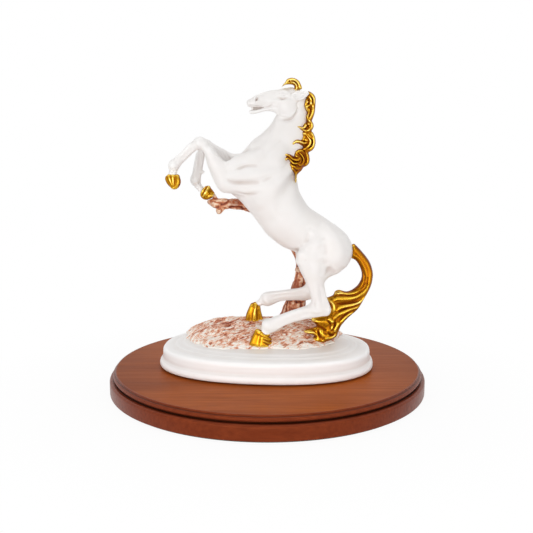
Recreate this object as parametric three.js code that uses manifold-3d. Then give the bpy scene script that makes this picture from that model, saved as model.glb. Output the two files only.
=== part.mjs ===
// Rearing horse figurine with gilt mane, tail and hooves, held by a tree stump on a stepped oval
// base, screwed to a round turned plinth. Millimetres, +Z up. The horse faces -X and its near (left)
// side faces -Y. The origin lies under the middle of the plinth, on the surface it stands on.
import * as THREE from 'three';
import { mergeVertices } from 'three/addons/utils/BufferGeometryUtils.js';
import Module from 'manifold-3d';

const wasm = await Module();
wasm.setup();

// Clearances
const GAP = 0.3; // between castings that touch
const PIN_CLEARANCE = 0.3; // round a locating pin or a screw in its hole

// Plinth
const FELT_THICKNESS = 1;
const FELT_MARGIN = 3; // the felt stops this far inside the board's edge
const LOWER_BOARD_RADIUS = 150;
const LOWER_BOARD_THICKNESS = 13.7;
const SHOULDER_RADIUS = 2.4;
const TOP_BOARD_THICKNESS = 6.9;
const TOP_BOARD_INSET = 3.3; // bead behind the edge of the lower board
const QUIRK_HEIGHT = 1.2;
const QUIRK_DEPTH = 1.8;
const BEAD_HEIGHT = 3.9;
const FILLET_WIDTH = 2.7; // from the bead in to the arris of the top face

// Screws
const BOARD_SCREW_DIAMETER = 4;
const BOARD_SCREW_HEAD = 8;
const BOARD_SCREW_CIRCLE = 112; // radius that the four screws stand on
const BOARD_SCREW_BITE = 4.2; // into the top board
const FIGURE_SCREW_DIAMETER = 4.5;
const FIGURE_SCREW_HEAD = 8.5;
const FIGURE_SCREW_HEAD_HEIGHT = 3;
const FIGURE_SCREW_SPACING = 110;
const FIGURE_SCREW_BITE = 11; // into the boss of the base casting
const WASHER_DIAMETER = 13;
const WASHER_THICKNESS = 1.2;
const COUNTERBORE_FLOOR = 6.5; // wood left above the washer

// Oval base casting
const BASE_HALF_LENGTH = 102;
const BASE_HALF_WIDTH = 71.5;
const BASE_SQUARENESS = 2.3; // exponent of the plan oval
const BASE_OFFSET = [-1, 0]; // oval centre from the plinth centre
const BASE_TURN = -6; // degrees from the horse's line
const FOOT_FILLET_HEIGHT = 2.2;
const FOOT_INSET = 0.8;
const TORUS_HEIGHT = 10.4; // the half-round moulding over the foot fillet
const FASCIA_INSET = 3.3;
const RIM_HEIGHT = 20; // top of the fascia
const RIM_ROUNDING = 2;
const LEDGE_WIDTH = 9; // from the rim in to the first soft step
const STEP_RISE = 0.9;
const STEP_WIDTH = 6;
const PLATEAU_HEIGHT = 22.8;
const BASE_WALL = 5;
const BOSS_DIAMETER = 14;

// Rock ground
const ROCK_EDGE = 0.7; // thickness of the casting's edge
const ROCK_RISE = 15.8;
const ROCK_CENTRE = [-4, 26];
const ROCK_HALF_LENGTH = 77;
const ROCK_FRONT_REACH = 57;
const ROCK_BACK_REACH = 24;
const ROCK_ROUGHNESS = 0.8;

// Horse: half widths and how far the legs stand out from the middle plane
const TORSO_HALF_WIDTH = 22.5;
const NECK_HALF_WIDTH = 13.5;
const HEAD_HALF_WIDTH = 9;
const FOREARM_HALF_WIDTH = 9;
const THIGH_HALF_WIDTH = 11.5;
const CANNON_HALF_WIDTH = 4.1;
const FORE_SPREAD = 14.5;
const HIND_SPREAD = 20;
const HOOF_HALF_WIDTH = 6.6;
const EAR_LENGTH = 13.5;
const EYE_RADIUS = 1.9;

// Joints between castings
const NECK_JOINT_HEIGHT = 206;
const NEAR_KNEE_JOINT = [-47.5, 196]; // on the forearm, x and z
const FAR_KNEE_JOINT = [-45, 199];
const NEAR_THIGH_JOINT = [44, 86];
const FAR_THIGH_JOINT = [46, 87];

// Locating pins
const STOUT_PIN_DIAMETER = 4;
const SLIM_PIN_DIAMETER = 2.6;
const HOOF_PIN_DIAMETER = 2;
const NECK_PIN_BITE = 14; // into the torso casting
const NECK_PIN_LEAN = 0.5; // step back per millimetre of joint height, like the neck's own
const NECK_PIN_LINE_FOOT = 202; // joint height at which the pin would stand over the origin

const LOWER_BOARD_BOTTOM = FELT_THICKNESS + GAP;
const LOWER_BOARD_TOP = LOWER_BOARD_BOTTOM + LOWER_BOARD_THICKNESS;
const TOP_BOARD_BOTTOM = LOWER_BOARD_TOP + GAP;
const TOP_BOARD_TOP = TOP_BOARD_BOTTOM + TOP_BOARD_THICKNESS;
const FIGURE_BOTTOM = TOP_BOARD_TOP + GAP;
const TURN = Math.PI * 2;

// Solids from closed surfaces

function solid(geometry) {
  const bare = geometry.clone();
  bare.deleteAttribute('normal');
  bare.deleteAttribute('uv');
  const merged = mergeVertices(bare, 1e-4);
  return new wasm.Manifold(new wasm.Mesh({
    numProp: 3,
    vertProperties: new Float32Array(merged.attributes.position.array),
    triVerts: new Uint32Array(merged.index.array),
  }));
}

function surface(manifold) {
  const mesh = manifold.getMesh();
  const geometry = new THREE.BufferGeometry();
  geometry.setAttribute('position', new THREE.BufferAttribute(new Float32Array(mesh.vertProperties), 3));
  geometry.setIndex(new THREE.BufferAttribute(new Uint32Array(mesh.triVerts), 1));
  geometry.computeVertexNormals();
  return geometry;
}

const join = (...solids) => solids.reduce((sum, next) => sum.add(next));

// Cuts the tools out of a body and drops any sliver that comes loose.
function cut(body, ...tools) {
  const rest = tools.reduce((left, tool) => left.subtract(tool), body);
  return rest.decompose().sort((a, b) => b.volume() - a.volume())[0];
}

// Closes a stack of point rings, all with as many points, into one surface.
// Every ring runs the same way round, counterclockwise seen from the last ring.
function ringSurface(rings) {
  const around = rings[0].length;
  const points = [];
  const index = [];
  rings.forEach((ring) => ring.forEach((p) => points.push(p.x, p.y, p.z)));
  for (let r = 0; r + 1 < rings.length; r += 1) {
    for (let i = 0; i < around; i += 1) {
      const a = r * around + i;
      const b = r * around + (i + 1) % around;
      index.push(a, b, b + around, a, b + around, a + around);
    }
  }
  [[0, true], [rings.length - 1, false]].forEach(([r, first]) => {
    const middle = rings[r].reduce((sum, p) => sum.add(p), new THREE.Vector3()).divideScalar(around);
    const centre = points.length / 3;
    points.push(middle.x, middle.y, middle.z);
    for (let i = 0; i < around; i += 1) {
      const a = r * around + i;
      const b = r * around + (i + 1) % around;
      index.push(...(first ? [centre, b, a] : [centre, a, b]));
    }
  });
  const geometry = new THREE.BufferGeometry();
  geometry.setAttribute('position', new THREE.Float32BufferAttribute(points, 3));
  geometry.setIndex(index);
  return geometry;
}

// Skin over oval sections that all stand square to the horse's middle plane. A section is
// [frontX, frontZ, backX, backZ, y, halfWidth]; taper above 0 makes the front side the wider one.
function skin(sections, { around = 12, steps = 1, extra = 0, taper = 0 } = {}) {
  const curve = (pick) => new THREE.CatmullRomCurve3(
    sections.map((s) => new THREE.Vector3(...pick(s))), false, 'centripetal',
  );
  const front = curve((s) => [s[0], 0, s[1]]);
  const back = curve((s) => [s[2], 0, s[3]]);
  const width = curve((s) => [s[4], s[5], 0]);
  const count = (sections.length - 1) * steps;
  const rings = [];
  const middles = [];
  for (let k = 0; k <= count; k += 1) {
    const t = k / count;
    const [f, b, w] = [front.getPoint(t), back.getPoint(t), width.getPoint(t)];
    const middle = f.clone().add(b).multiplyScalar(0.5).setY(w.x);
    const reach = f.clone().sub(b).multiplyScalar(0.5);
    reach.setLength(reach.length() + extra);
    middles.push(middle);
    rings.push(Array.from({ length: around }, (_, i) => {
      const angle = (i / around) * TURN;
      const side = (w.y + extra) * Math.sin(angle) * (1 + taper * Math.cos(angle));
      const p = middle.clone().addScaledVector(reach, Math.cos(angle));
      return p.setY(p.y + side);
    }));
  }
  if (extra > 0) {
    const push = (ring, from, to) => {
      const shift = to.clone().sub(from).setLength(extra);
      ring.forEach((p) => p.add(shift));
    };
    push(rings[0], middles[1], middles[0]);
    push(rings[count], middles[count - 1], middles[count]);
  }
  return solidFromRings(rings);
}

// The rings may run either way; the solid always comes out with its faces pointing out.
function solidFromRings(rings) {
  const body = solid(ringSurface(rings));
  if (body.volume() > 0) {
    return body;
  }
  return solid(ringSurface(rings.map((ring) => ring.slice().reverse())));
}

// Lobed tube along a smooth path, for locks of hair and for bark. A point is [x, y, z, radius].
function lock(points, options = {}) {
  const { around = 8, steps = 2, lobes = 4, depth = 0.16, twist = 0.5, flat = 1, extra = 0 } = options;
  const path = new THREE.CatmullRomCurve3(points.map((p) => new THREE.Vector3(p[0], p[1], p[2])));
  const sizes = new THREE.CatmullRomCurve3(points.map((p) => new THREE.Vector3(p[3], 0, 0)));
  const count = (points.length - 1) * steps;
  const frames = path.computeFrenetFrames(count, false);
  const rings = Array.from({ length: count + 1 }, (_, k) => {
    const t = k / count;
    const middle = path.getPointAt(t);
    const radius = sizes.getPoint(path.getUtoTmapping(t)).x + extra;
    return Array.from({ length: around }, (_unused, i) => {
      const angle = (i / around) * TURN;
      const r = radius * (1 - depth + depth * Math.cos(lobes * (angle + twist * t * TURN)));
      return middle.clone()
        .addScaledVector(frames.normals[k], Math.cos(angle) * r)
        .addScaledVector(frames.binormals[k], Math.sin(angle) * r * flat);
    });
  });
  return solidFromRings(rings);
}

function ellipsoid([x, y, z], [rx, ry, rz], { tilt = 0, extra = 0, around = 14 } = {}) {
  const ball = new THREE.SphereGeometry(1, around, around / 2);
  ball.scale(rx + extra, ry + extra, rz + extra);
  ball.rotateY(tilt);
  ball.translate(x, y, z);
  return solid(ball);
}

// Round bar between two points.
function bar(from, to, diameter, around = 8) {
  const [a, b] = [new THREE.Vector3(...from), new THREE.Vector3(...to)];
  const geometry = new THREE.CylinderGeometry(diameter / 2, diameter / 2, a.distanceTo(b), around);
  const turn = new THREE.Quaternion().setFromUnitVectors(
    new THREE.Vector3(0, 1, 0), b.clone().sub(a).normalize(),
  );
  geometry.applyQuaternion(turn);
  const middle = a.add(b).multiplyScalar(0.5);
  geometry.translate(middle.x, middle.y, middle.z);
  return solid(geometry);
}

// Block that fills the space on the far side of a joint plane, away by the given distance.
function beyond([x, z], [dx, dz], away) {
  const size = 400;
  const along = new THREE.Vector3(dx, 0, dz).normalize();
  const block = new THREE.BoxGeometry(size, size, size);
  block.translate(size / 2 + away, 0, 0);
  block.applyQuaternion(new THREE.Quaternion().setFromUnitVectors(new THREE.Vector3(1, 0, 0), along));
  block.translate(x, 0, z);
  return solid(block);
}

// Parts a solid at a joint plane: the root keeps the near side, the piece starts GAP beyond it.
function part(body, at, direction) {
  return {
    root: body.subtract(beyond(at, direction, 0)),
    piece: body.intersect(beyond(at, direction, GAP)),
  };
}

// Finishes

const finish = (color, roughness, metalness) => () => (
  new THREE.MeshStandardMaterial({ color, roughness, metalness })
);
const whiteEnamel = finish(0xf0ece8, 0.28, 0);
const gilding = finish(0xd9a21b, 0.3, 0.85);
const mahogany = finish(0x8a4526, 0.38, 0);
const rockPaint = finish(0xc69078, 0.7, 0);
const barkPaint = finish(0xb5654a, 0.7, 0);
const steel = finish(0xb9bcc0, 0.35, 1);
const felt = finish(0x1f3d2c, 0.95, 0);

const plinth = new THREE.Group();
const figure = new THREE.Group();
figure.position.z = FIGURE_BOTTOM;

function place(group, name, body, material) {
  const mesh = new THREE.Mesh(surface(body), material());
  mesh.name = name;
  group.add(mesh);
}

// Plinth boards, felt and screws

const LATHE_STEPS = 48;

function turned(profile, steps = LATHE_STEPS) {
  const geometry = new THREE.LatheGeometry(profile.map(([r, z]) => new THREE.Vector2(r, z)), steps);
  geometry.rotateX(Math.PI / 2);
  return solid(geometry);
}

// Points of a quarter round from one angle to another, about a centre.
function arc([r, z], radius, from, to, steps = 3) {
  return Array.from({ length: steps + 1 }, (_, i) => {
    const angle = from + ((to - from) * i) / steps;
    return [r + radius * Math.cos(angle), z + radius * Math.sin(angle)];
  });
}

const boardScrewSpots = [0, 1, 2, 3].map((i) => {
  const angle = (i + 0.5) * (TURN / 4);
  return [BOARD_SCREW_CIRCLE * Math.cos(angle), BOARD_SCREW_CIRCLE * Math.sin(angle)];
});
const figureScrewSpots = [-1, 1].map((side) => [
  BASE_OFFSET[0] + (side * FIGURE_SCREW_SPACING) / 2, BASE_OFFSET[1],
]);

const headDepth = (BOARD_SCREW_HEAD - BOARD_SCREW_DIAMETER) / 2; // the countersink is 90 degrees
const boardScrewTip = TOP_BOARD_BOTTOM + BOARD_SCREW_BITE;
const washerSeat = LOWER_BOARD_TOP - COUNTERBORE_FLOOR;
const figureScrewTip = FIGURE_BOTTOM + FIGURE_SCREW_BITE;

function countersunkScrew(extra) {
  const shank = BOARD_SCREW_DIAMETER / 2 + extra;
  const head = BOARD_SCREW_HEAD / 2 + extra;
  const bottom = LOWER_BOARD_BOTTOM + GAP - (extra > 0 ? 2 * GAP : 0);
  const tip = boardScrewTip + extra;
  return turned([[0, bottom], [head, bottom], [head, LOWER_BOARD_BOTTOM + GAP + 0.4],
    [shank, LOWER_BOARD_BOTTOM + GAP + 0.4 + headDepth], [shank, tip - shank], [0, tip]], 10);
}

function figureScrew(extra) {
  const shank = FIGURE_SCREW_DIAMETER / 2 + extra;
  const head = FIGURE_SCREW_HEAD / 2;
  const headTop = washerSeat - GAP - WASHER_THICKNESS - GAP;
  const tip = figureScrewTip + extra;
  return turned([[0, headTop - FIGURE_SCREW_HEAD_HEIGHT], [head, headTop - FIGURE_SCREW_HEAD_HEIGHT],
    [head, headTop], [shank, headTop], [shank, tip - shank], [0, tip]], 10);
}

function washer() {
  const [inner, outer] = [FIGURE_SCREW_DIAMETER / 2 + PIN_CLEARANCE, WASHER_DIAMETER / 2];
  const [top, bottom] = [washerSeat - GAP, washerSeat - GAP - WASHER_THICKNESS];
  return turned([[inner, bottom], [outer, bottom], [outer, top], [inner, top], [inner, bottom]], 12);
}

const boardScrewHoles = boardScrewSpots.map(([x, y]) => (
  countersunkScrew(PIN_CLEARANCE).translate([x, y, 0])
));
const figureScrewHoles = figureScrewSpots.map(([x, y]) => bar(
  [x, y, 0], [x, y, figureScrewTip + PIN_CLEARANCE], FIGURE_SCREW_DIAMETER + 2 * PIN_CLEARANCE, 10,
));
const counterbores = figureScrewSpots.map(([x, y]) => bar(
  [x, y, 0], [x, y, washerSeat], WASHER_DIAMETER + 2 * PIN_CLEARANCE, 12,
));

const lowerBoard = turned([
  [0, LOWER_BOARD_BOTTOM],
  [LOWER_BOARD_RADIUS - 1, LOWER_BOARD_BOTTOM],
  [LOWER_BOARD_RADIUS, LOWER_BOARD_BOTTOM + 1],
  ...arc([LOWER_BOARD_RADIUS - SHOULDER_RADIUS, LOWER_BOARD_TOP - SHOULDER_RADIUS],
    SHOULDER_RADIUS, 0, Math.PI / 2),
  [0, LOWER_BOARD_TOP],
]);
const beadRadius = LOWER_BOARD_RADIUS - TOP_BOARD_INSET;
const beadBottom = TOP_BOARD_BOTTOM + QUIRK_HEIGHT;
const filletTop = TOP_BOARD_TOP - 0.5;
const topBoard = turned([
  [0, TOP_BOARD_BOTTOM],
  [beadRadius - QUIRK_DEPTH, TOP_BOARD_BOTTOM],
  [beadRadius - QUIRK_DEPTH, beadBottom],
  ...arc([beadRadius - BEAD_HEIGHT / 2, beadBottom + BEAD_HEIGHT / 2],
    BEAD_HEIGHT / 2, -Math.PI / 3, Math.PI / 3),
  [beadRadius - FILLET_WIDTH + 0.5, beadBottom + BEAD_HEIGHT],
  [beadRadius - FILLET_WIDTH + 0.5, filletTop],
  [beadRadius - FILLET_WIDTH, TOP_BOARD_TOP],
  [0, TOP_BOARD_TOP],
]);

place(plinth, 'felt_underlay', turned([
  [0, 0], [LOWER_BOARD_RADIUS - FELT_MARGIN, 0],
  [LOWER_BOARD_RADIUS - FELT_MARGIN, FELT_THICKNESS], [0, FELT_THICKNESS],
]), felt);
place(plinth, 'plinth_lower_board', cut(lowerBoard, ...boardScrewHoles, ...figureScrewHoles,
  ...counterbores), mahogany);
place(plinth, 'plinth_top_board', cut(topBoard, ...boardScrewHoles, ...figureScrewHoles), mahogany);
boardScrewSpots.forEach(([x, y], i) => {
  place(plinth, `plinth_screw_${i + 1}`, countersunkScrew(0).translate([x, y, 0]), steel);
});
figureScrewSpots.forEach(([x, y], i) => {
  place(plinth, `figure_screw_${i + 1}`, figureScrew(0).translate([x, y, 0]), steel);
  place(plinth, `figure_washer_${i + 1}`, washer().translate([x, y, 0]), steel);
});

// Oval base casting, hollow and open below, with two screw bosses

function ovalRing(inset, z, around) {
  const power = 2 / BASE_SQUARENESS;
  return Array.from({ length: around }, (_, i) => {
    const angle = (i / around) * TURN;
    const [c, s] = [Math.cos(angle), Math.sin(angle)];
    const x = (BASE_HALF_LENGTH - inset) * Math.sign(c) * Math.abs(c) ** power;
    const y = (BASE_HALF_WIDTH - inset) * Math.sign(s) * Math.abs(s) ** power;
    return new THREE.Vector3(x, y, z)
      .applyAxisAngle(new THREE.Vector3(0, 0, 1), THREE.MathUtils.degToRad(BASE_TURN))
      .add(new THREE.Vector3(...BASE_OFFSET, 0));
  });
}

const rimInset = FASCIA_INSET + RIM_ROUNDING;
const stepInset = rimInset + LEDGE_WIDTH;
const torusTop = FOOT_FILLET_HEIGHT + TORUS_HEIGHT;

// Ring of the torus, from 0 at its foot to 1 at its top; it tucks in further above than below.
const torusRing = (share) => {
  const angle = share * Math.PI;
  const tuck = share < 0.5 ? FOOT_INSET + 0.5 : FASCIA_INSET + 0.5;
  return [tuck * (1 - Math.sin(angle)), FOOT_FILLET_HEIGHT + (TORUS_HEIGHT / 2) * (1 - Math.cos(angle))];
};
const ledgeHeight = RIM_HEIGHT + 0.4;
const baseProfile = [
  [FOOT_INSET, 0],
  [FOOT_INSET, FOOT_FILLET_HEIGHT],
  torusRing(0.18),
  torusRing(0.34),
  torusRing(0.5),
  torusRing(0.68),
  torusRing(0.86),
  [FASCIA_INSET, torusTop + 0.8],
  [FASCIA_INSET, RIM_HEIGHT - RIM_ROUNDING],
  [FASCIA_INSET + 0.3 * RIM_ROUNDING, RIM_HEIGHT - 0.3 * RIM_ROUNDING],
  [rimInset, RIM_HEIGHT],
  [stepInset, ledgeHeight],
  [stepInset + STEP_RISE, ledgeHeight + STEP_RISE],
  [stepInset + STEP_WIDTH, ledgeHeight + STEP_RISE],
  [stepInset + STEP_WIDTH + STEP_RISE, PLATEAU_HEIGHT],
];
const baseOutside = solidFromRings(baseProfile.map(([inset, z]) => ovalRing(inset, z, 40)));
const baseHollow = solidFromRings([
  [FASCIA_INSET + BASE_WALL, -1],
  [FASCIA_INSET + BASE_WALL, RIM_HEIGHT - BASE_WALL],
  [stepInset + BASE_WALL, PLATEAU_HEIGHT - BASE_WALL],
].map(([inset, z]) => ovalRing(inset, z, 24)));
const bosses = figureScrewSpots.map(([x, y]) => bar(
  [x, y, 0], [x, y, PLATEAU_HEIGHT - BASE_WALL / 2], BOSS_DIAMETER, 12,
));
const pilotHoles = figureScrewHoles.map((hole) => hole.translate([0, 0, -FIGURE_BOTTOM]));
place(figure, 'base_casting', cut(join(cut(baseOutside, baseHollow), ...bosses), ...pilotHoles),
  whiteEnamel);

// Height of the rock above the figure's foot.
function rockHeight(x, y) {
  const [dx, dy] = [(x - ROCK_CENTRE[0]) / ROCK_HALF_LENGTH, y - ROCK_CENTRE[1]];
  const reach = dy < 0 ? ROCK_FRONT_REACH : ROCK_BACK_REACH;
  const fall = Math.abs(dx) ** 4 + Math.abs(dy / reach) ** 1.6;
  const crag = Math.sin(0.31 * x + 1.7 * Math.sin(0.17 * y)) * Math.sin(0.37 * y + 0.11 * x)
    + 0.6 * Math.sin(0.62 * y - 0.23 * x);
  const rise = Math.max(0, 1 - fall);
  return PLATEAU_HEIGHT + GAP + ROCK_EDGE + ROCK_RISE * rise + ROCK_ROUGHNESS * crag * Math.min(1, 4 * rise);
}

// Plan outline of the rock: where its height has fallen to the edge.
function rockOutline(angle) {
  const [c, s] = [Math.cos(angle), Math.sin(angle)];
  const reach = s < 0 ? ROCK_FRONT_REACH : ROCK_BACK_REACH;
  let [low, high] = [0, ROCK_HALF_LENGTH + ROCK_FRONT_REACH];
  for (let i = 0; i < 40; i += 1) {
    const r = (low + high) / 2;
    const fall = Math.abs((r * c) / ROCK_HALF_LENGTH) ** 4 + Math.abs((r * s) / reach) ** 1.6;
    [low, high] = fall < 1 ? [r, high] : [low, r];
  }
  return low;
}

function rockRing(share, z) {
  const around = 34;
  return Array.from({ length: around }, (_, i) => {
    const angle = (i / around) * TURN;
    const wobble = 1 + 0.02 * Math.sin(5 * angle) + 0.015 * Math.sin(11 * angle + 1);
    const r = rockOutline(angle) * share * wobble;
    const [x, y] = [ROCK_CENTRE[0] + r * Math.cos(angle), ROCK_CENTRE[1] + r * Math.sin(angle)];
    return new THREE.Vector3(x, y, z === undefined ? rockHeight(x, y) : z);
  });
}

const rockBlock = solidFromRings([
  rockRing(1, PLATEAU_HEIGHT + GAP),
  ...[1, 0.95, 0.86, 0.74, 0.6, 0.45, 0.3, 0.12].map((share) => rockRing(share)),
]);

// Horse: every form is a function of an extra thickness, so neighbours can be cut to clear it

const torsoForm = (extra) => skin([
  [-28, 191, -34, 182, 0, 8],
  [-18, 201, -36, 174, 0, 0.72 * TORSO_HALF_WIDTH],
  [4, 201, -34, 165, 0, 0.92 * TORSO_HALF_WIDTH],
  [22, 189, -27, 159, 0, TORSO_HALF_WIDTH],
  [28.5, 171, -18, 149, 0, TORSO_HALF_WIDTH],
  [32, 162, -9, 137.5, 0, 0.98 * TORSO_HALF_WIDTH],
  [38, 152.5, -1, 126.5, 0, 0.96 * TORSO_HALF_WIDTH],
  [47, 146, 8.5, 118.5, 0, 0.92 * TORSO_HALF_WIDTH],
  [56.5, 140, 18.5, 112.5, 0, 0.9 * TORSO_HALF_WIDTH],
  [66, 133.5, 30, 107.5, 0, 0.98 * TORSO_HALF_WIDTH],
  [74.5, 126, 46, 97, 0, 1.02 * TORSO_HALF_WIDTH],
  [79.5, 117, 60, 88, 0, 0.92 * TORSO_HALF_WIDTH],
  [80.5, 109, 70, 93.5, 0, 0.62 * TORSO_HALF_WIDTH],
  [79, 104, 76, 99.5, 0, 5],
], { around: 16, steps: 2, extra });

const neckForm = (extra) => skin([
  [-33, 188, 24, 166, 0, 1.2 * NECK_HALF_WIDTH],
  [-26, 197, 27, 182, 0, 1.06 * NECK_HALF_WIDTH],
  [-20.6, 204.5, 29.5, 195, 0, 0.93 * NECK_HALF_WIDTH],
  [-14.1, 212.7, 33, 206, 0, 0.83 * NECK_HALF_WIDTH],
  [-4.9, 220, 35.5, 217, 0, 0.74 * NECK_HALF_WIDTH],
  [2.5, 228.2, 36.5, 228, 0, 0.66 * NECK_HALF_WIDTH],
  [6.8, 235.5, 36, 238, 0, 0.6 * NECK_HALF_WIDTH],
  [12, 241, 34.5, 246.5, 0, 0.55 * NECK_HALF_WIDTH],
  [18, 247, 31.5, 253, 0, 0.45 * NECK_HALF_WIDTH],
], { around: 14, steps: 2, extra, taper: 0.28 });

const upperHeadForm = (extra) => skin([
  [-18.4, 248.2, -18.2, 245.4, 0, 0.28 * HEAD_HALF_WIDTH],
  [-16.8, 250.2, -16.9, 244.1, 0, 0.52 * HEAD_HALF_WIDTH],
  [-13, 252.7, -12.8, 243.7, 0, 0.63 * HEAD_HALF_WIDTH],
  [-8.5, 255, -7.5, 243.2, 0, 0.6 * HEAD_HALF_WIDTH],
  [-3, 257, -2, 242.2, 0, 0.56 * HEAD_HALF_WIDTH],
  [3, 258.4, 4.5, 240.5, 0, 0.68 * HEAD_HALF_WIDTH],
  [9, 259.3, 11, 238, 0, 0.88 * HEAD_HALF_WIDTH],
  [16, 260.6, 18, 236.5, 0, HEAD_HALF_WIDTH],
  [22.5, 261.3, 24.5, 238.5, 0, 0.95 * HEAD_HALF_WIDTH],
  [29, 259.5, 28.5, 244, 0, 0.8 * HEAD_HALF_WIDTH],
  [31.8, 256.5, 30.5, 250, 0, 0.5 * HEAD_HALF_WIDTH],
], { around: 14, extra });

const jawForm = (extra) => join(
  skin([
    [-15.7, 240.6, -15.9, 238.2, 0, 0.3 * HEAD_HALF_WIDTH],
    [-12.8, 241, -12.3, 237.7, 0, 0.45 * HEAD_HALF_WIDTH],
    [-7, 241.8, -6.5, 238.9, 0, 0.48 * HEAD_HALF_WIDTH],
    [-1, 243.6, -0.5, 239.5, 0, 0.52 * HEAD_HALF_WIDTH],
    [6, 246, 5.5, 239, 0, 0.62 * HEAD_HALF_WIDTH],
    [12, 247, 10.5, 236.5, 0, 0.7 * HEAD_HALF_WIDTH],
  ], { around: 10, extra }),
  ellipsoid([18.4, 0, 243.8], [9.2, 0.94 * HEAD_HALF_WIDTH, 10.2], { extra }),
);

const headForm = (extra) => join(upperHeadForm(extra), jawForm(extra),
  ...[-1, 1].map((side) => ellipsoid(
    [13.3, side * (0.86 * HEAD_HALF_WIDTH), 253.4], [3, EYE_RADIUS, EYE_RADIUS], { extra, around: 8 },
  )));

const nearForelegForm = (extra) => skin([
  [14, 193, 2, 180, -0.85 * FORE_SPREAD, 0.55 * FOREARM_HALF_WIDTH],
  [2, 200, -8, 172, -0.9 * FORE_SPREAD, 0.92 * FOREARM_HALF_WIDTH],
  [-13, 202.5, -17, 168, -0.95 * FORE_SPREAD, 1.04 * FOREARM_HALF_WIDTH],
  [-26, 199, -29, 166, -FORE_SPREAD, FOREARM_HALF_WIDTH],
  [-35, 194.5, -41, 166.5, -FORE_SPREAD - 1.5, FOREARM_HALF_WIDTH],
  [-40.5, 197, -47.5, 174.5, -FORE_SPREAD - 2, 0.92 * FOREARM_HALF_WIDTH],
  [-46, 203, -51.8, 184.5, -FORE_SPREAD - 1.5, 0.8 * FOREARM_HALF_WIDTH],
  [-51.3, 209, -55.2, 194, -FORE_SPREAD - 1, 1.55 * CANNON_HALF_WIDTH],
  [-57.5, 216, -57.5, 202, -FORE_SPREAD - 0.5, 1.45 * CANNON_HALF_WIDTH],
  [-63.5, 216.3, -60.3, 205.6, -FORE_SPREAD - 0.5, 1.42 * CANNON_HALF_WIDTH],
  [-70.1, 210.8, -65.2, 205, -FORE_SPREAD - 0.5, 1.1 * CANNON_HALF_WIDTH],
  [-77, 203.6, -71.5, 199.8, -FORE_SPREAD - 0.5, 0.95 * CANNON_HALF_WIDTH],
  [-83.9, 197.8, -78.6, 192.2, -FORE_SPREAD - 0.5, CANNON_HALF_WIDTH],
  [-89.8, 191.6, -82.3, 187.6, -FORE_SPREAD - 0.5, 1.2 * CANNON_HALF_WIDTH],
  [-90.8, 186.2, -82.9, 184.6, -FORE_SPREAD - 0.5, 1.05 * CANNON_HALF_WIDTH],
  [-91.2, 182, -82.6, 182.6, -FORE_SPREAD - 0.5, 1.15 * CANNON_HALF_WIDTH],
], { extra });

const farForelegForm = (extra) => skin([
  [14, 193, 2, 180, 0.85 * FORE_SPREAD, 0.55 * FOREARM_HALF_WIDTH],
  [2, 200, -8, 174, 0.9 * FORE_SPREAD, 0.92 * FOREARM_HALF_WIDTH],
  [-12, 203, -15, 171, 0.95 * FORE_SPREAD, 1.04 * FOREARM_HALF_WIDTH],
  [-24, 200.5, -26, 172, FORE_SPREAD, 0.95 * FOREARM_HALF_WIDTH],
  [-33.2, 200.8, -34.6, 179, FORE_SPREAD + 0.5, 0.9 * FOREARM_HALF_WIDTH],
  [-41, 204.8, -43.5, 190, FORE_SPREAD + 0.5, 0.78 * FOREARM_HALF_WIDTH],
  [-50, 209.6, -49.5, 198, FORE_SPREAD + 0.5, 1.5 * CANNON_HALF_WIDTH],
  [-57, 214.6, -55, 202, FORE_SPREAD, 1.42 * CANNON_HALF_WIDTH],
  [-64.3, 214, -56.8, 204, FORE_SPREAD, 1.42 * CANNON_HALF_WIDTH],
  [-65.4, 205, -58, 203, FORE_SPREAD, 1.3 * CANNON_HALF_WIDTH],
  [-66.2, 197.8, -59.9, 196.5, FORE_SPREAD, 0.98 * CANNON_HALF_WIDTH],
  [-68.6, 190, -61.9, 189, FORE_SPREAD, 0.95 * CANNON_HALF_WIDTH],
  [-71, 182.3, -61.9, 183.2, FORE_SPREAD, CANNON_HALF_WIDTH],
  [-72.8, 174.9, -63.7, 177.2, FORE_SPREAD, 1.2 * CANNON_HALF_WIDTH],
  [-69.4, 168, -62.8, 171.8, FORE_SPREAD, 1.05 * CANNON_HALF_WIDTH],
  [-64.6, 163.8, -60.4, 169, FORE_SPREAD, 1.15 * CANNON_HALF_WIDTH],
], { extra });

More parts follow.
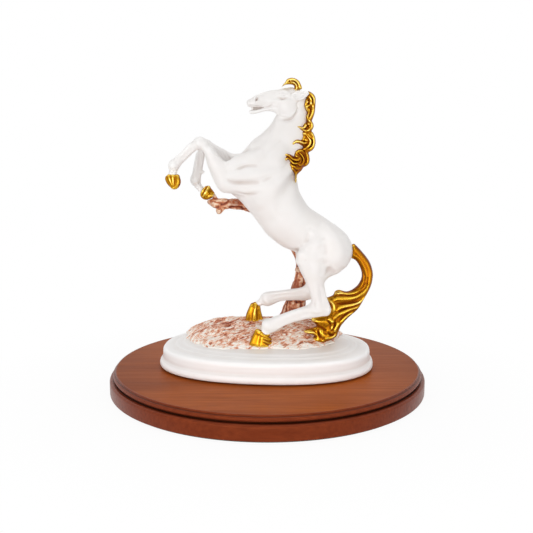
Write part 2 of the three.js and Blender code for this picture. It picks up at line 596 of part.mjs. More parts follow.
const nearHindForm = (extra) => skin([
  [52, 133, 70, 126, -0.55 * HIND_SPREAD, 0.45 * THIGH_HALF_WIDTH],
  [40, 125, 75, 115, -0.6 * HIND_SPREAD, 0.85 * THIGH_HALF_WIDTH],
  [31, 116, 73.5, 106, -0.62 * HIND_SPREAD, THIGH_HALF_WIDTH],
  [27, 106, 66, 97.5, -0.68 * HIND_SPREAD, THIGH_HALF_WIDTH],
  [28.4, 99, 59.5, 93, -0.76 * HIND_SPREAD, 0.92 * THIGH_HALF_WIDTH],
  [31.2, 92, 55.6, 88.6, -0.85 * HIND_SPREAD, 0.8 * THIGH_HALF_WIDTH],
  [34, 85.4, 53.8, 83.6, -0.92 * HIND_SPREAD, 0.68 * THIGH_HALF_WIDTH],
  [37.2, 76.5, 53.1, 75.6, -HIND_SPREAD, 1.45 * CANNON_HALF_WIDTH],
  [39.2, 69, 54, 67, -HIND_SPREAD, 1.35 * CANNON_HALF_WIDTH],
  [38.2, 63.6, 57, 58.5, -HIND_SPREAD, 1.32 * CANNON_HALF_WIDTH],
  [33, 61.6, 52, 52.6, -HIND_SPREAD - 0.5, 1.3 * CANNON_HALF_WIDTH],
  [27, 60, 38.5, 49.2, -HIND_SPREAD - 1, 1.2 * CANNON_HALF_WIDTH],
  [17.5, 57, 24, 45.3, -HIND_SPREAD - 1.5, 1.15 * CANNON_HALF_WIDTH],
  [7.5, 53, 12, 41.3, -HIND_SPREAD - 2, 1.2 * CANNON_HALF_WIDTH],
  [-2.4, 49.4, 5.6, 37.9, -HIND_SPREAD - 2.5, 1.3 * CANNON_HALF_WIDTH],
  [-5.6, 43.8, 2.6, 36, -HIND_SPREAD - 3, 1.15 * CANNON_HALF_WIDTH],
  [-6.6, 39.2, 1.4, 34.4, -HIND_SPREAD - 3.5, 1.2 * CANNON_HALF_WIDTH],
], { extra });

const farHindForm = (extra) => skin([
  [54, 133, 71, 126, 0.55 * HIND_SPREAD, 0.45 * THIGH_HALF_WIDTH],
  [44, 126, 77, 115, 0.6 * HIND_SPREAD, 0.85 * THIGH_HALF_WIDTH],
  [38, 116, 76.5, 105, 0.62 * HIND_SPREAD, THIGH_HALF_WIDTH],
  [35, 105, 70, 94, 0.7 * HIND_SPREAD, THIGH_HALF_WIDTH],
  [35, 97, 63, 88, 0.78 * HIND_SPREAD, 0.9 * THIGH_HALF_WIDTH],
  [36, 90, 56.5, 84, 0.86 * HIND_SPREAD, 0.78 * THIGH_HALF_WIDTH],
  [37, 83, 52, 79, 0.92 * HIND_SPREAD, 0.64 * THIGH_HALF_WIDTH],
  [38, 76, 50.6, 72, HIND_SPREAD, 1.4 * CANNON_HALF_WIDTH],
  [36.8, 71.4, 50.4, 63, HIND_SPREAD, 1.32 * CANNON_HALF_WIDTH],
  [32, 70, 42, 58, HIND_SPREAD, 1.25 * CANNON_HALF_WIDTH],
  [23, 68.5, 26, 57.5, HIND_SPREAD, 1.15 * CANNON_HALF_WIDTH],
  [12.5, 67.4, 12.5, 56.3, HIND_SPREAD, 1.15 * CANNON_HALF_WIDTH],
  [1, 66.4, 3.4, 53, HIND_SPREAD, 1.25 * CANNON_HALF_WIDTH],
  [-6.6, 63.4, -2, 52.6, HIND_SPREAD, 1.2 * CANNON_HALF_WIDTH],
  [-9.8, 58.4, -5.4, 52.2, HIND_SPREAD, 1.1 * CANNON_HALF_WIDTH],
  [-13.4, 56, -7.4, 51, HIND_SPREAD, 1.15 * CANNON_HALF_WIDTH],
], { extra });

// Hooves: each runs from the coronet to the sole
const nearForeHoof = (extra) => skin([
  [-92.4, 182.2, -81.8, 183, -FORE_SPREAD - 0.5, 0.8 * HOOF_HALF_WIDTH],
  [-93.8, 179.6, -80.2, 179.4, -FORE_SPREAD - 0.5, 0.92 * HOOF_HALF_WIDTH],
  [-90, 173.8, -79.8, 176.8, -FORE_SPREAD - 0.5, HOOF_HALF_WIDTH],
  [-86, 169.8, -80.2, 174.2, -FORE_SPREAD - 0.5, 0.92 * HOOF_HALF_WIDTH],
], { extra });

const farForeHoof = (extra) => skin([
  [-64, 163, -60.3, 170.2, FORE_SPREAD, 0.8 * HOOF_HALF_WIDTH],
  [-61.6, 159, -57, 170.2, FORE_SPREAD, 0.92 * HOOF_HALF_WIDTH],
  [-57.4, 157, -53.8, 169.2, FORE_SPREAD, HOOF_HALF_WIDTH],
  [-52, 158.8, -50.8, 165.4, FORE_SPREAD, 0.92 * HOOF_HALF_WIDTH],
], { extra });

const nearHindHoof = (extra) => skin([
  [-8, 39.6, 2.4, 34.2, -HIND_SPREAD - 3.5, 0.8 * HOOF_HALF_WIDTH],
  [-11.2, 34.6, 2.8, 30, -HIND_SPREAD - 3.6, 0.92 * HOOF_HALF_WIDTH],
  [-15.8, 28.2, 4.2, 25.6, -HIND_SPREAD - 3.8, 1.04 * HOOF_HALF_WIDTH],
  [-16.6, 26.2, 4.4, 23.6, -HIND_SPREAD - 3.8, 1.04 * HOOF_HALF_WIDTH],
], { extra });

const farHindHoof = (extra) => skin([
  [-15.6, 55.8, -6.8, 50.4, HIND_SPREAD, 0.8 * HOOF_HALF_WIDTH],
  [-18.4, 49.6, -4.8, 45.6, HIND_SPREAD, 0.92 * HOOF_HALF_WIDTH],
  [-20.9, 41, -3.6, 39.8, HIND_SPREAD, 1.04 * HOOF_HALF_WIDTH],
  [-21.2, 38.4, -3.4, 37.6, HIND_SPREAD, 1.04 * HOOF_HALF_WIDTH],
], { extra });

// Tree: trunk from the rock up along the far flank, branch out past the chest

const TRUNK_RADIUS = 8;
const BRANCH_RADIUS = 4.8;
const BARK = { around: 8, lobes: 4, depth: 0.08, twist: 0.35 };

const trunkForm = (extra) => lock([
  [24, 36, 26, 1.9 * TRUNK_RADIUS],
  [26, 36, 42, 1.55 * TRUNK_RADIUS],
  [30, 36, 58, 1.15 * TRUNK_RADIUS],
  [34, 35, 76, 0.95 * TRUNK_RADIUS],
  [36, 33, 92, TRUNK_RADIUS],
  [31, 31, 108, 0.95 * TRUNK_RADIUS],
  [17, 29, 125, 0.9 * TRUNK_RADIUS],
  [2, 27, 139, 0.82 * TRUNK_RADIUS],
  [-13, 24, 148, 0.75 * TRUNK_RADIUS],
], { ...BARK, extra });

const branchForm = (extra) => join(
  lock([
    [-8, 25, 147, 1.1 * BRANCH_RADIUS],
    [-22, 19, 152, 1.15 * BRANCH_RADIUS],
    [-34, FORE_SPREAD, 153, 1.06 * BRANCH_RADIUS],
    [-45, FORE_SPREAD - 1.5, 153, BRANCH_RADIUS],
    [-53, FORE_SPREAD - 2, 154, 0.6 * BRANCH_RADIUS],
    [-56.4, FORE_SPREAD - 2, 154.6, 0.3 * BRANCH_RADIUS],
  ], { ...BARK, extra }),
  lock([
    [-42, FORE_SPREAD - 2, 151, 0.5 * BRANCH_RADIUS],
    [-45.5, FORE_SPREAD - 4.5, 147.2, 0.66 * BRANCH_RADIUS],
    [-46.5, FORE_SPREAD - 5.5, 145.6, 0.6 * BRANCH_RADIUS],
  ], { depth: 0, extra }),
);

// Mane, forelock and tail: grooved locks that leave the crest and the dock in S curves

const FINE_HAIR = { around: 6, lobes: 3, depth: 0.2 };
const HEAVY_HAIR = { around: 8, lobes: 4, depth: 0.17 };
const hair = (extra, style, ...locks) => join(...locks.map((points) => lock(points, { ...style, extra })));

const forelockForm = (extra) => hair(extra, FINE_HAIR,
  [[28.5, -1, 256, 3.2], [28, -2, 262, 3.6], [24.5, -3, 266.4, 2.8], [19.5, -4, 267, 1.9],
    [15.5, -5, 263.8, 1], [13, -5.5, 261.2, 0.4]],
  [[28.5, 2.5, 256.5, 2.8], [29.3, 2, 262, 3], [25, 1.5, 267.6, 2.4], [20, 0.5, 268.4, 1.6],
    [16.5, 0, 266.4, 0.5]],
);

// Each group has a ridge over the crest and locks that curl down on both sides of the neck.
const maneGroups = {
  mane_poll_locks: {
    ridge: [[34, 256, 3], [39.5, 253.8, 4.4], [41, 247.5, 4.5], [40.6, 240, 4.4], [38.6, 232, 3.2]],
    curls: [
      [[39.5, 1.5, 250.5, 3], [38.4, 5, 246.5, 3.2], [38.2, 5.8, 240.5, 2.7], [36.6, 6, 235, 1.7],
        [35, 6, 231.5, 0.6]],
    ],
  },
  mane_upper_locks: {
    ridge: [[38, 235, 3.2], [39.4, 229, 4.2], [38.8, 223.5, 4], [39.5, 218, 2.8]],
    curls: [
      [[40, 1.5, 231, 3], [37.6, 4.8, 226.4, 3.2], [33, 6.2, 224.4, 2.4], [27, 7.8, 226.2, 0.5]],
    ],
  },
  mane_middle_locks: {
    ridge: [[38.5, 221, 3.2], [40.6, 215, 4.5], [41, 208.5, 4.4], [38.5, 203.5, 2.8]],
    curls: [
      [[39, 1.5, 219, 2.8], [35.6, 4.8, 215.6, 3], [30, 6.8, 214.4, 2.3], [23.3, 9, 210.3, 0.5]],
      [[40, 1.5, 212.5, 2.8], [36.4, 5, 209, 3], [32, 6.6, 209.3, 2.1], [29, 7.8, 211.4, 0.6]],
    ],
  },
  mane_lower_locks: {
    ridge: [[38, 204, 3.2], [36, 198.5, 4.4], [33, 193, 3.6]],
    curls: [
      [[37, 2, 205.5, 3], [31.5, 5.6, 204.4, 3.2], [25, 8, 201.2, 2.5], [19, 10, 200.4, 1.5],
        [15.8, 11, 195.8, 0.4]],
      [[36, 2, 200.5, 3.2], [30.5, 5.6, 198.4, 3.4], [25, 7.8, 196, 2.5], [21, 9.4, 191, 0.7]],
    ],
  },
  mane_withers_locks: {
    ridge: [[36.5, 199, 2.8], [35.6, 193, 4], [31, 188.6, 3.6], [28.5, 183, 2.2], [27.4, 177, 1],
      [27.4, 174, 0.4]],
    curls: [
      [[34.5, 2, 196, 3], [30.5, 5, 191.5, 3], [27.4, 5.6, 185.5, 1.8], [27, 4.8, 180.5, 0.6]],
    ],
  },
};
const maneForm = ({ ridge, curls }, extra) => hair(extra, FINE_HAIR,
  ridge.map(([x, z, radius]) => [x, 0, z, radius]),
  ...[-1, 1].flatMap((side) => curls.map((curl) => (
    curl.map(([x, y, z, radius]) => [x, side * y, z, radius])
  ))),
);

const tailForm = (extra) => join(
  hair(extra, HEAVY_HAIR,
    [[77, -1, 109.5, 4.4], [84, -1, 105.5, 5.8], [91, -2, 97.5, 5.8], [95, -3, 87.5, 5.6],
      [94.6, -4, 79, 5.6], [90, -5, 72, 5.6], [82.5, -6.5, 67, 5.2], [74, -8, 65.6, 4.6],
      [66, -9, 65.8, 3.6], [60, -9.5, 64.6, 2.4], [56, -10, 63.6, 0.8]],
    [[79, 2, 106.5, 3.8], [86.5, 2, 101, 5], [92.5, 1, 92, 5.4], [94.8, 0, 82, 5.6], [92, -1.5, 72, 5.8],
      [85.5, -3, 63.5, 5.8], [77, -5, 58, 5.6], [68.5, -7, 54.5, 5], [61.5, -9, 51.5, 4],
      [57.5, -10, 46.5, 2.4], [54, -10.5, 44.5, 0.8]],
    [[92, -2, 70, 5.2], [86.5, -4, 60, 5.4], [79, -6, 52.5, 5.4], [72, -8, 47, 5.4], [66, -9, 42, 5.4],
      [60, -10, 38.5, 4.4], [54, -11, 37, 3]],
    [[82, -3, 108.5, 3], [89.6, -4, 101.5, 3.8], [95.8, -4.5, 92, 4.2], [97.2, -5, 82, 4.2],
      [94.8, -5.5, 71, 4.6], [89.3, -6, 60.5, 5], [82, -7, 52, 5], [74.6, -8, 45.4, 4.8],
      [68.8, -9, 39, 4.2], [65.8, -10, 33, 3], [61, -10.5, 28.8, 1]]),
  hair(extra, FINE_HAIR,
    [[66, -8, 45, 3], [58, -9, 44.4, 4], [50, -11, 45.4, 3.4], [43.8, -12, 48.4, 0.8]],
    [[66, -8, 41, 3.4], [58, -10, 39, 4.6], [49, -11, 37, 3.8], [40.5, -12, 36.8, 2.2],
      [34.3, -13, 36.2, 0.7]],
    [[66, -9, 37, 3.2], [60, -11, 33, 4.2], [52, -12.5, 31.2, 4], [45, -13.5, 30.4, 2.2],
      [41.5, -13.5, 28, 0.7]],
    [[64, -10, 33, 2.8], [57, -12.5, 29, 3.6], [50, -13.5, 26.6, 2.6], [45.5, -14, 24.4, 0.8]]),
);

// Locating pins, as [from, to, diameter]

const headPinFoot = 232;
const neckPinBottom = NECK_JOINT_HEIGHT - NECK_PIN_BITE;
const neckPinTop = NECK_JOINT_HEIGHT + ((headPinFoot - NECK_JOINT_HEIGHT) * 7) / 13;
const neckPinX = (NECK_JOINT_HEIGHT - NECK_PIN_LINE_FOOT) * NECK_PIN_LEAN;

const pins = {
  neck_pin: [[neckPinX, 0, neckPinBottom], [neckPinX + 3, 0, neckPinTop], STOUT_PIN_DIAMETER],
  head_pin: [[20, 0, headPinFoot], [20, 0, headPinFoot + 16], SLIM_PIN_DIAMETER],
  near_foreleg_pin: [
    [-37, -FORE_SPREAD - 1.5, 184], [-52.5, -FORE_SPREAD - 1.5, 200.5], SLIM_PIN_DIAMETER,
  ],
  far_foreleg_pin: [[-34, FORE_SPREAD, 189.5], [-53, FORE_SPREAD, 206.5], SLIM_PIN_DIAMETER],
  near_hind_pin: [[43, -0.8 * HIND_SPREAD, 98], [45.5, -0.97 * HIND_SPREAD, 75], STOUT_PIN_DIAMETER],
  far_hind_pin: [[48, 0.8 * HIND_SPREAD, 99], [44.4, 0.98 * HIND_SPREAD, 76], STOUT_PIN_DIAMETER],
  tail_pin: [[72, 0, 110.5], [85, -0.5, 103.5], SLIM_PIN_DIAMETER],
  trunk_pin: [[26, 36, 24.5], [27.5, 36, 45], STOUT_PIN_DIAMETER],
  near_fore_hoof_pin: [[-87, -FORE_SPREAD - 0.5, 187], [-86.6, -FORE_SPREAD - 0.5, 177.5], HOOF_PIN_DIAMETER],
  far_fore_hoof_pin: [[-65.4, FORE_SPREAD, 169], [-58.5, FORE_SPREAD, 163.8], HOOF_PIN_DIAMETER],
  near_hind_hoof_pin: [[-1.4, -HIND_SPREAD - 3.2, 41], [-4.5, -HIND_SPREAD - 3.7, 31], HOOF_PIN_DIAMETER],
  far_hind_hoof_pin: [[-8.4, HIND_SPREAD, 56.4], [-11.8, HIND_SPREAD, 46], HOOF_PIN_DIAMETER],
};
const pinHole = (name) => {
  const [from, to, diameter] = pins[name];
  const [a, b] = [new THREE.Vector3(...from), new THREE.Vector3(...to)];
  const over = b.clone().sub(a).setLength(PIN_CLEARANCE);
  return bar(a.sub(over).toArray(), b.add(over).toArray(), diameter + 2 * PIN_CLEARANCE);
};

// Castings of the horse

const nearForeleg = part(nearForelegForm(0), NEAR_KNEE_JOINT, [-0.75, 0.66]);
const farForeleg = part(farForelegForm(0), FAR_KNEE_JOINT, [-0.95, 0.3]);
const nearHindLeg = part(nearHindForm(0), NEAR_THIGH_JOINT, [0.05, -1]);
const farHindLeg = part(farHindForm(0), FAR_THIGH_JOINT, [-0.15, -1]);
const aboveNeckJoint = (away) => beyond([0, NECK_JOINT_HEIGHT], [0, 1], away);

const trunk = join(torsoForm(0), neckForm(0));
const torso = cut(
  join(trunk.subtract(aboveNeckJoint(0)), nearForeleg.root, farForeleg.root, nearHindLeg.root,
    farHindLeg.root),
  ...['neck_pin', 'near_foreleg_pin', 'far_foreleg_pin', 'near_hind_pin', 'far_hind_pin', 'tail_pin']
    .map(pinHole),
);
const torsoClear = join(torsoForm(GAP), neckForm(GAP), nearHindForm(GAP), farHindForm(GAP));

const ear = (side, extra) => {
  const tip = side < 0 ? [9.5, 2.2, 3.2] : [8.2, 3.4, 6.4];
  const length = Math.hypot(...tip);
  const at = (share, lift) => [
    26 + (tip[0] / length) * EAR_LENGTH * share,
    side * (5.6 + (tip[1] / length) * EAR_LENGTH * share),
    254 + (tip[2] / length) * EAR_LENGTH * share + lift,
  ];
  return lock([[...at(-0.15, -1), 2.6], [...at(0.25, 0), 4], [...at(0.6, 0.6), 3.8], [...at(1, 0), 0.5]],
    { around: 8, lobes: 1, depth: 0.2, twist: 0, flat: 0.5, extra });
};

const nostrils = [-1, 1].map((side) => ellipsoid([-9.6, side * 0.62 * HEAD_HALF_WIDTH, 251],
  [1.1, 1.6, 2.2], { tilt: -0.5, around: 10 }));

place(figure, 'rock_ground', cut(rockBlock, nearHindHoof(GAP), farHindHoof(GAP), trunkForm(GAP),
  tailForm(GAP), nearHindForm(GAP), pinHole('trunk_pin')), rockPaint);
place(figure, 'torso_casting', torso, whiteEnamel);
place(figure, 'neck_casting', cut(trunk.intersect(aboveNeckJoint(GAP)), headForm(GAP),
  nearForelegForm(GAP), farForelegForm(GAP), pinHole('neck_pin'), pinHole('head_pin')), whiteEnamel);
place(figure, 'head_casting', cut(headForm(0), ...nostrils, pinHole('head_pin')), whiteEnamel);
place(figure, 'near_ear', cut(ear(-1, 0), headForm(GAP), neckForm(GAP)), whiteEnamel);
place(figure, 'far_ear', cut(ear(1, 0), headForm(GAP), neckForm(GAP)), whiteEnamel);
place(figure, 'near_foreleg', cut(nearForeleg.piece, torsoClear, nearForeHoof(GAP),
  pinHole('near_foreleg_pin'), pinHole('near_fore_hoof_pin')), whiteEnamel);
place(figure, 'far_foreleg', cut(farForeleg.piece, torsoClear, farForeHoof(GAP),
  pinHole('far_foreleg_pin'), pinHole('far_fore_hoof_pin')), whiteEnamel);
place(figure, 'near_hind_leg', cut(nearHindLeg.piece, torsoForm(GAP), nearHindHoof(GAP),
  pinHole('near_hind_pin'), pinHole('near_hind_hoof_pin')), whiteEnamel);
place(figure, 'far_hind_leg', cut(farHindLeg.piece, torsoForm(GAP), farHindHoof(GAP),
  pinHole('far_hind_pin'), pinHole('far_hind_hoof_pin')), whiteEnamel);
place(figure, 'near_fore_hoof', cut(nearForeHoof(0), pinHole('near_fore_hoof_pin')), gilding);
place(figure, 'far_fore_hoof', cut(farForeHoof(0), pinHole('far_fore_hoof_pin')), gilding);
place(figure, 'near_hind_hoof', cut(nearHindHoof(0), pinHole('near_hind_hoof_pin')), gilding);
place(figure, 'far_hind_hoof', cut(farHindHoof(0), pinHole('far_hind_hoof_pin')), gilding);

const earsClear = join(ear(-1, GAP), ear(1, GAP));
const horseClear = join(torsoForm(GAP), neckForm(GAP), headForm(GAP), earsClear);
place(figure, 'forelock', cut(forelockForm(0), horseClear), gilding);
const maneSoFar = [forelockForm(GAP)];
Object.entries(maneGroups).forEach(([name, group]) => {
  place(figure, name, cut(maneForm(group, 0), horseClear, ...maneSoFar), gilding);
  maneSoFar.push(maneForm(group, GAP));
});
place(figure, 'tail_casting', cut(tailForm(0), torsoClear, pinHole('tail_pin')), gilding);
place(figure, 'tree_trunk', cut(trunkForm(0), torsoClear, pinHole('trunk_pin')), barkPaint);
place(figure, 'tree_branch', cut(branchForm(0), torsoClear, trunkForm(GAP), farForeHoof(GAP)), barkPaint);
place(figure, 'hoof_prop', cut(
  lock([[-54, FORE_SPREAD, 165, 1.8], [-49, FORE_SPREAD - 0.5, 159, 1.7], [-46.5, FORE_SPREAD - 1, 154, 2.4]],
    { around: 8, steps: 2, depth: 0.05 }),
  farForeHoof(GAP), branchForm(GAP),
), rockPaint);

Object.entries(pins).forEach(([name, [from, to, diameter]]) => {
  place(figure, name, bar(from, to, diameter), steel);
});

const model = new THREE.Group();
model.name = 'horse_statue';
model.add(plinth, figure);

export default model;
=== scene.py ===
import math

import bpy
import numpy as np
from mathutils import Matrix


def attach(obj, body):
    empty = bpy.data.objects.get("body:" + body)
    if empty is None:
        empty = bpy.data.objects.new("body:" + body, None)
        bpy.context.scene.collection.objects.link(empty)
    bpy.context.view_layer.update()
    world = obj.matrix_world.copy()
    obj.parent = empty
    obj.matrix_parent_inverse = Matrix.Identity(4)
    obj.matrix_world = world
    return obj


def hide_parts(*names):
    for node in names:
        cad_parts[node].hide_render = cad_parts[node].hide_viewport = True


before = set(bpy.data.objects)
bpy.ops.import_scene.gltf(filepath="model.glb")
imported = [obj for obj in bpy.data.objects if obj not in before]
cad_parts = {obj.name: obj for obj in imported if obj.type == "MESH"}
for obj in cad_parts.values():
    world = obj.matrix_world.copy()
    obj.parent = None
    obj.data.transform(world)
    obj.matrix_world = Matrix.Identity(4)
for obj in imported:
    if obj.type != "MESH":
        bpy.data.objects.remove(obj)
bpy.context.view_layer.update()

import openvdb

# Felt underlay: a disc of green felt, die-cut 3 mm smaller than the lower board and glued flat
# under it, so that the plinth neither slips nor scratches the table.

MM = 0.001
LATHE_STEPS = 240


def colour(*screen):
    """A colour named by its screen values, as the linear numbers that a shader takes."""
    return (*(((c / 255 + 0.055) / 1.055) ** 2.4 if c > 10 else c / 3295 for c in screen), 1.0)


class Finish:
    """A surface finish, or the studio's light, that is built up node by node."""

    def __init__(self, name, library=bpy.data.materials):
        self.block = library.new(name)
        self.block.use_nodes = True
        self.tree = self.block.node_tree
        self.shader = self.tree.nodes.get("Principled BSDF")

    def put(self, target, numbered=None, **named):
        """Sets sockets, by number or by name (spaces as underscores), to a value or another socket."""
        for name, value in {**(numbered or {}), **named}.items():
            socket = target.inputs[name.replace("_", " ") if isinstance(name, str) else name]
            if isinstance(value, bpy.types.NodeSocket):
                self.tree.links.new(value, socket)
            else:
                socket.default_value = value

    def coat(self, **named):
        self.put(self.shader, **named)

    def node(self, kind, settings=None, numbered=None, **named):
        made = self.tree.nodes.new("ShaderNode" + kind)
        for name, value in (settings or {}).items():
            setattr(made, name, value)
        self.put(made, numbered, **named)
        return made

    def relief(self):
        """How a piece is carved: 0 in its grooves, 1 on its ridges."""
        return self.node("Attribute", {"attribute_name": "relief"}).outputs["Fac"]

    def place(self, scale=(1, 1, 1), turn=0.0):
        """The point in the object's own space, turned and stretched, for a pattern to follow."""
        space = self.node("TexCoord").outputs["Object"]
        turned_space = self.node("Mapping", Vector=space, Rotation=(0, 0, turn)).outputs["Vector"]
        return self.node("Mapping", Vector=turned_space, Scale=scale).outputs["Vector"]

    def length(self, vector):
        return self.node("VectorMath", {"operation": "LENGTH"}, Vector=vector).outputs["Value"]

    def noise(self, scale, detail=4.0, rough=0.55, stretch=(1, 1, 1), bend=0.0, turn=0.0):
        made = self.node("TexNoise", Vector=self.place(stretch, turn), Scale=scale, Detail=detail,
                         Roughness=rough, Distortion=bend)
        return made.outputs["Fac"]

    def reckon(self, operation, *values):
        return self.node("Math", {"operation": operation}, dict(enumerate(values))).outputs[0]

    def blend(self, share, first, second):
        """Mixes two colours by a share from 0 to 1."""
        return self.node("Mix", {"data_type": "RGBA"}, {0: share, 6: first, 7: second}).outputs[2]

    def spread(self, value, low, high, to_low=0.0, to_high=1.0):
        """Stretches a value's range from low..high to to_low..to_high."""
        made = self.node("MapRange", Value=value, From_Min=low, From_Max=high, To_Min=to_low, To_Max=to_high)
        return made.outputs["Result"]

    def steps(self, value, *stops):
        """A colour ramp through (place, red, green, blue) stops."""
        made = self.node("ValToRGB", Fac=value)
        ramp = made.color_ramp
        while len(ramp.elements) < len(stops):
            ramp.elements.new(0.5)
        for element, (place, *screen) in zip(ramp.elements, stops):
            element.position = place
            element.color = colour(*screen)
        return made.outputs["Color"]

    def grain(self, height, depth_mm):
        """Bumps the surface by a height pattern whose full range is depth_mm."""
        return self.node("Bump", Height=height, Distance=depth_mm * MM, Strength=1.0).outputs["Normal"]


def shape(name, points, faces, finish, stands_for, crease_degrees=None, relief=None):
    """Makes one piece from points in millimetres, gives it its finish and fixes it to the statue."""
    mesh = bpy.data.meshes.new(name)
    mesh.from_pydata((points * MM).tolist(), [], [face for block in faces for face in block.tolist()])
    mesh.update()
    mesh.shade_smooth()
    if crease_degrees is not None:
        mesh.set_sharp_from_angle(angle=math.radians(crease_degrees))
    if relief is not None:
        carried = mesh.attributes.new("relief", "FLOAT", "POINT")
        carried.data.foreach_set("value", np.asarray(relief, np.float32))
    mesh.materials.append(finish.block)
    made = bpy.data.objects.new(name, mesh)
    bpy.context.scene.collection.objects.link(made)
    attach(made, "root")
    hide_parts(*stands_for)


def skin_over(rings):
    """A closed skin over rings [ring, step, xyz]: its points, its quads and the triangles of both ends."""
    count, around = rings.shape[:2]
    points = np.vstack([rings.reshape(-1, 3), rings[0].mean(0), rings[-1].mean(0)])
    step = np.arange(around)
    after = (step + 1) % around
    ring = np.arange(count - 1)[:, None] * around
    quads = np.stack([ring + step, ring + after, ring + after + around, ring + step + around], -1)
    first, last = 0 * step + count * around, (count - 1) * around
    ends = np.vstack([np.stack([first, after, step], 1), np.stack([first + 1, last + step, last + after], 1)])
    return points, quads.reshape(-1, 4), ends


def turned(name, profile, finish, stands_for, relief=None):
    """Turns a profile of [radius, height] pairs about the plinth's axis and closes it at both ends."""
    profile = np.array(profile, float)
    angle = np.arange(LATHE_STEPS) * math.tau / LATHE_STEPS
    radius, height = profile.T[..., None]
    rings = np.stack([radius * np.cos(angle), radius * np.sin(angle), height + 0 * angle], -1)
    points, *faces = skin_over(rings)
    if relief is not None:
        relief = [*np.repeat(relief, LATHE_STEPS), relief[0], relief[-1]]
    shape(name, points, faces, finish, stands_for, crease_degrees=32, relief=relief)


felt = Finish("green_felt")
felt_fibres = felt.noise(2600, detail=5, rough=0.7)
felt.coat(
    Base_Color=felt.steps(felt_fibres, (0.3, 22, 46, 33), (0.7, 44, 78, 58)),
    Normal=felt.grain(felt_fibres, 0.25), Roughness=0.95, Sheen_Weight=0.35, Sheen_Roughness=0.5,
)
turned("felt_disc", [[147, 0], [147, 1]], felt, ["felt_underlay"])

# Plinth boards: two discs of red-brown mahogany, glued up from planks, turned on a lathe and lacquered.
# The lower one is plain with a rounded shoulder; the upper one has a quirk, a bead and a small fillet.

BOARD_ARRIS = (0.1432, 0.1441)  # radius in metres where the flat face turns into the moulded edge
SHADED_END_SPAN = (0.085, 0.14)  # metres from the middle, over which the flat face darkens

wood = Finish("mahogany_under_lacquer")
figure_bands = wood.noise(30, detail=3, rough=0.5, stretch=(0.14, 1, 1), bend=0.3)
fine_grain = wood.noise(620, detail=5, rough=0.62, stretch=(0.03, 1, 0.4))
pores = wood.noise(1300, detail=2, rough=0.5, stretch=(0.045, 1, 1))
cloudy = wood.noise(9, detail=2, rough=0.5)
streaks = wood.steps(
    figure_bands, (0.3, 140, 67, 18), (0.45, 163, 80, 24), (0.58, 176, 90, 29), (0.75, 152, 72, 20),
)
with_grain = wood.blend(wood.spread(fine_grain, 0.38, 0.7, 0.0, 0.75), streaks, colour(122, 56, 23))
with_pores = wood.blend(wood.spread(pores, 0.6, 0.74, 0.0, 0.5), with_grain, colour(84, 36, 18))
cloudy_wood = wood.blend(wood.spread(cloudy, 0.35, 0.7, 0.0, 0.35), with_pores, colour(178, 92, 29))
# painted shade: the flat face darkens towards its left and right ends, where less light falls
towards_shaded_ends = wood.spread(wood.length(wood.place((1, 0, 0))), *SHADED_END_SPAN, 0.0, 0.5)
flat_wood = wood.blend(towards_shaded_ends, cloudy_wood, colour(116, 53, 17))
# the moulded edge is darker partly as end grain that soaks up more colour and partly as painted shade on side
# faces that get less light than the top
edge_grain_and_shade = wood.blend(wood.spread(fine_grain, 0.3, 0.75), colour(124, 54, 29), colour(98, 38, 20))
outer_edge = wood.length(wood.place((1, 1, 0)))
both_woods = wood.blend(wood.spread(outer_edge, *BOARD_ARRIS), flat_wood, edge_grain_and_shade)
wood.coat(
    # painted shade: where the relief is low the wood goes near black, in the quirk between the boards, at the
    # step above the bead and along the lower board's foot
    Base_Color=wood.blend(wood.spread(wood.relief(), 0.0, 1.0, 1.0, 0.0), both_woods, colour(36, 12, 5)),
    Roughness=wood.spread(fine_grain, 0.3, 0.7, 0.3, 0.4), Normal=wood.grain(fine_grain, 0.015),
    Specular_IOR_Level=wood.spread(outer_edge, *BOARD_ARRIS, 0.035, 0.3), Specular_Tint=colour(226, 142, 92),
)


def arc(radius, height, bend, start, stop, steps=8):
    """Points [radius, height] of a rounded corner, its angles in degrees from straight out."""
    angle = np.radians(np.linspace(start, stop, steps + 1))
    return np.stack([radius + bend * np.cos(angle), height + bend * np.sin(angle)], 1).tolist()


lower_profile = [
    [148.6, 1.3], *arc(149, 2.3, 1, -90, 0, 4), *arc(147.6, 12.6, 2.4, 0, 90),
    [146.8, 15], [145.4, 15], [140, 15],
]
# the relief lists set where the painted shade falls: low in the quirk, at the fillet step and at the foot
turned("lower_board", lower_profile, wood, ["plinth_lower_board"],
       relief=[0.3] * 3 + [1.0] * (len(lower_profile) - 5) + [0.2, 0.0])
turned("top_board", [
    [144.9, 15.3], [144.9, 16.2], [145.1, 16.5], *arc(144.75, 18.45, 1.95, -70, 70, 12), [144.9, 20.45],
    [144.5, 20.7], [144.5, 21.6], *arc(143.9, 21.6, 0.6, 0, 90, 4), [142.9, 22.2],
], wood, ["plinth_top_board"],
       relief=[0.0, 0.1, 0.35, 0.8, 0.9] + [1.0] * 9 + [0.9, 0.7, 0.35, 0.7] + [1.0] * 7)

# Screws and washers: plain steel wood screws, driven up from below under the felt. Four hold the two
# boards together, and two with washers hold the figure's base down; none of them shows.

steel = Finish("plain_steel")
lathe_marks = steel.noise(1800, detail=3, stretch=(1, 1, 0.15))
steel.coat(
    Base_Color=steel.steps(lathe_marks, (0.35, 168, 170, 173), (0.7, 205, 206, 208)), Metallic=1.0,
    Roughness=steel.spread(lathe_marks, 0.3, 0.7, 0.26, 0.42), Normal=steel.grain(lathe_marks, 0.02),
)
for node_name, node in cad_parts.items():
    if "screw" in node_name or "washer" in node_name or node_name.endswith("_pin"):
        node.data.materials.clear()
        node.data.materials.append(steel.block)

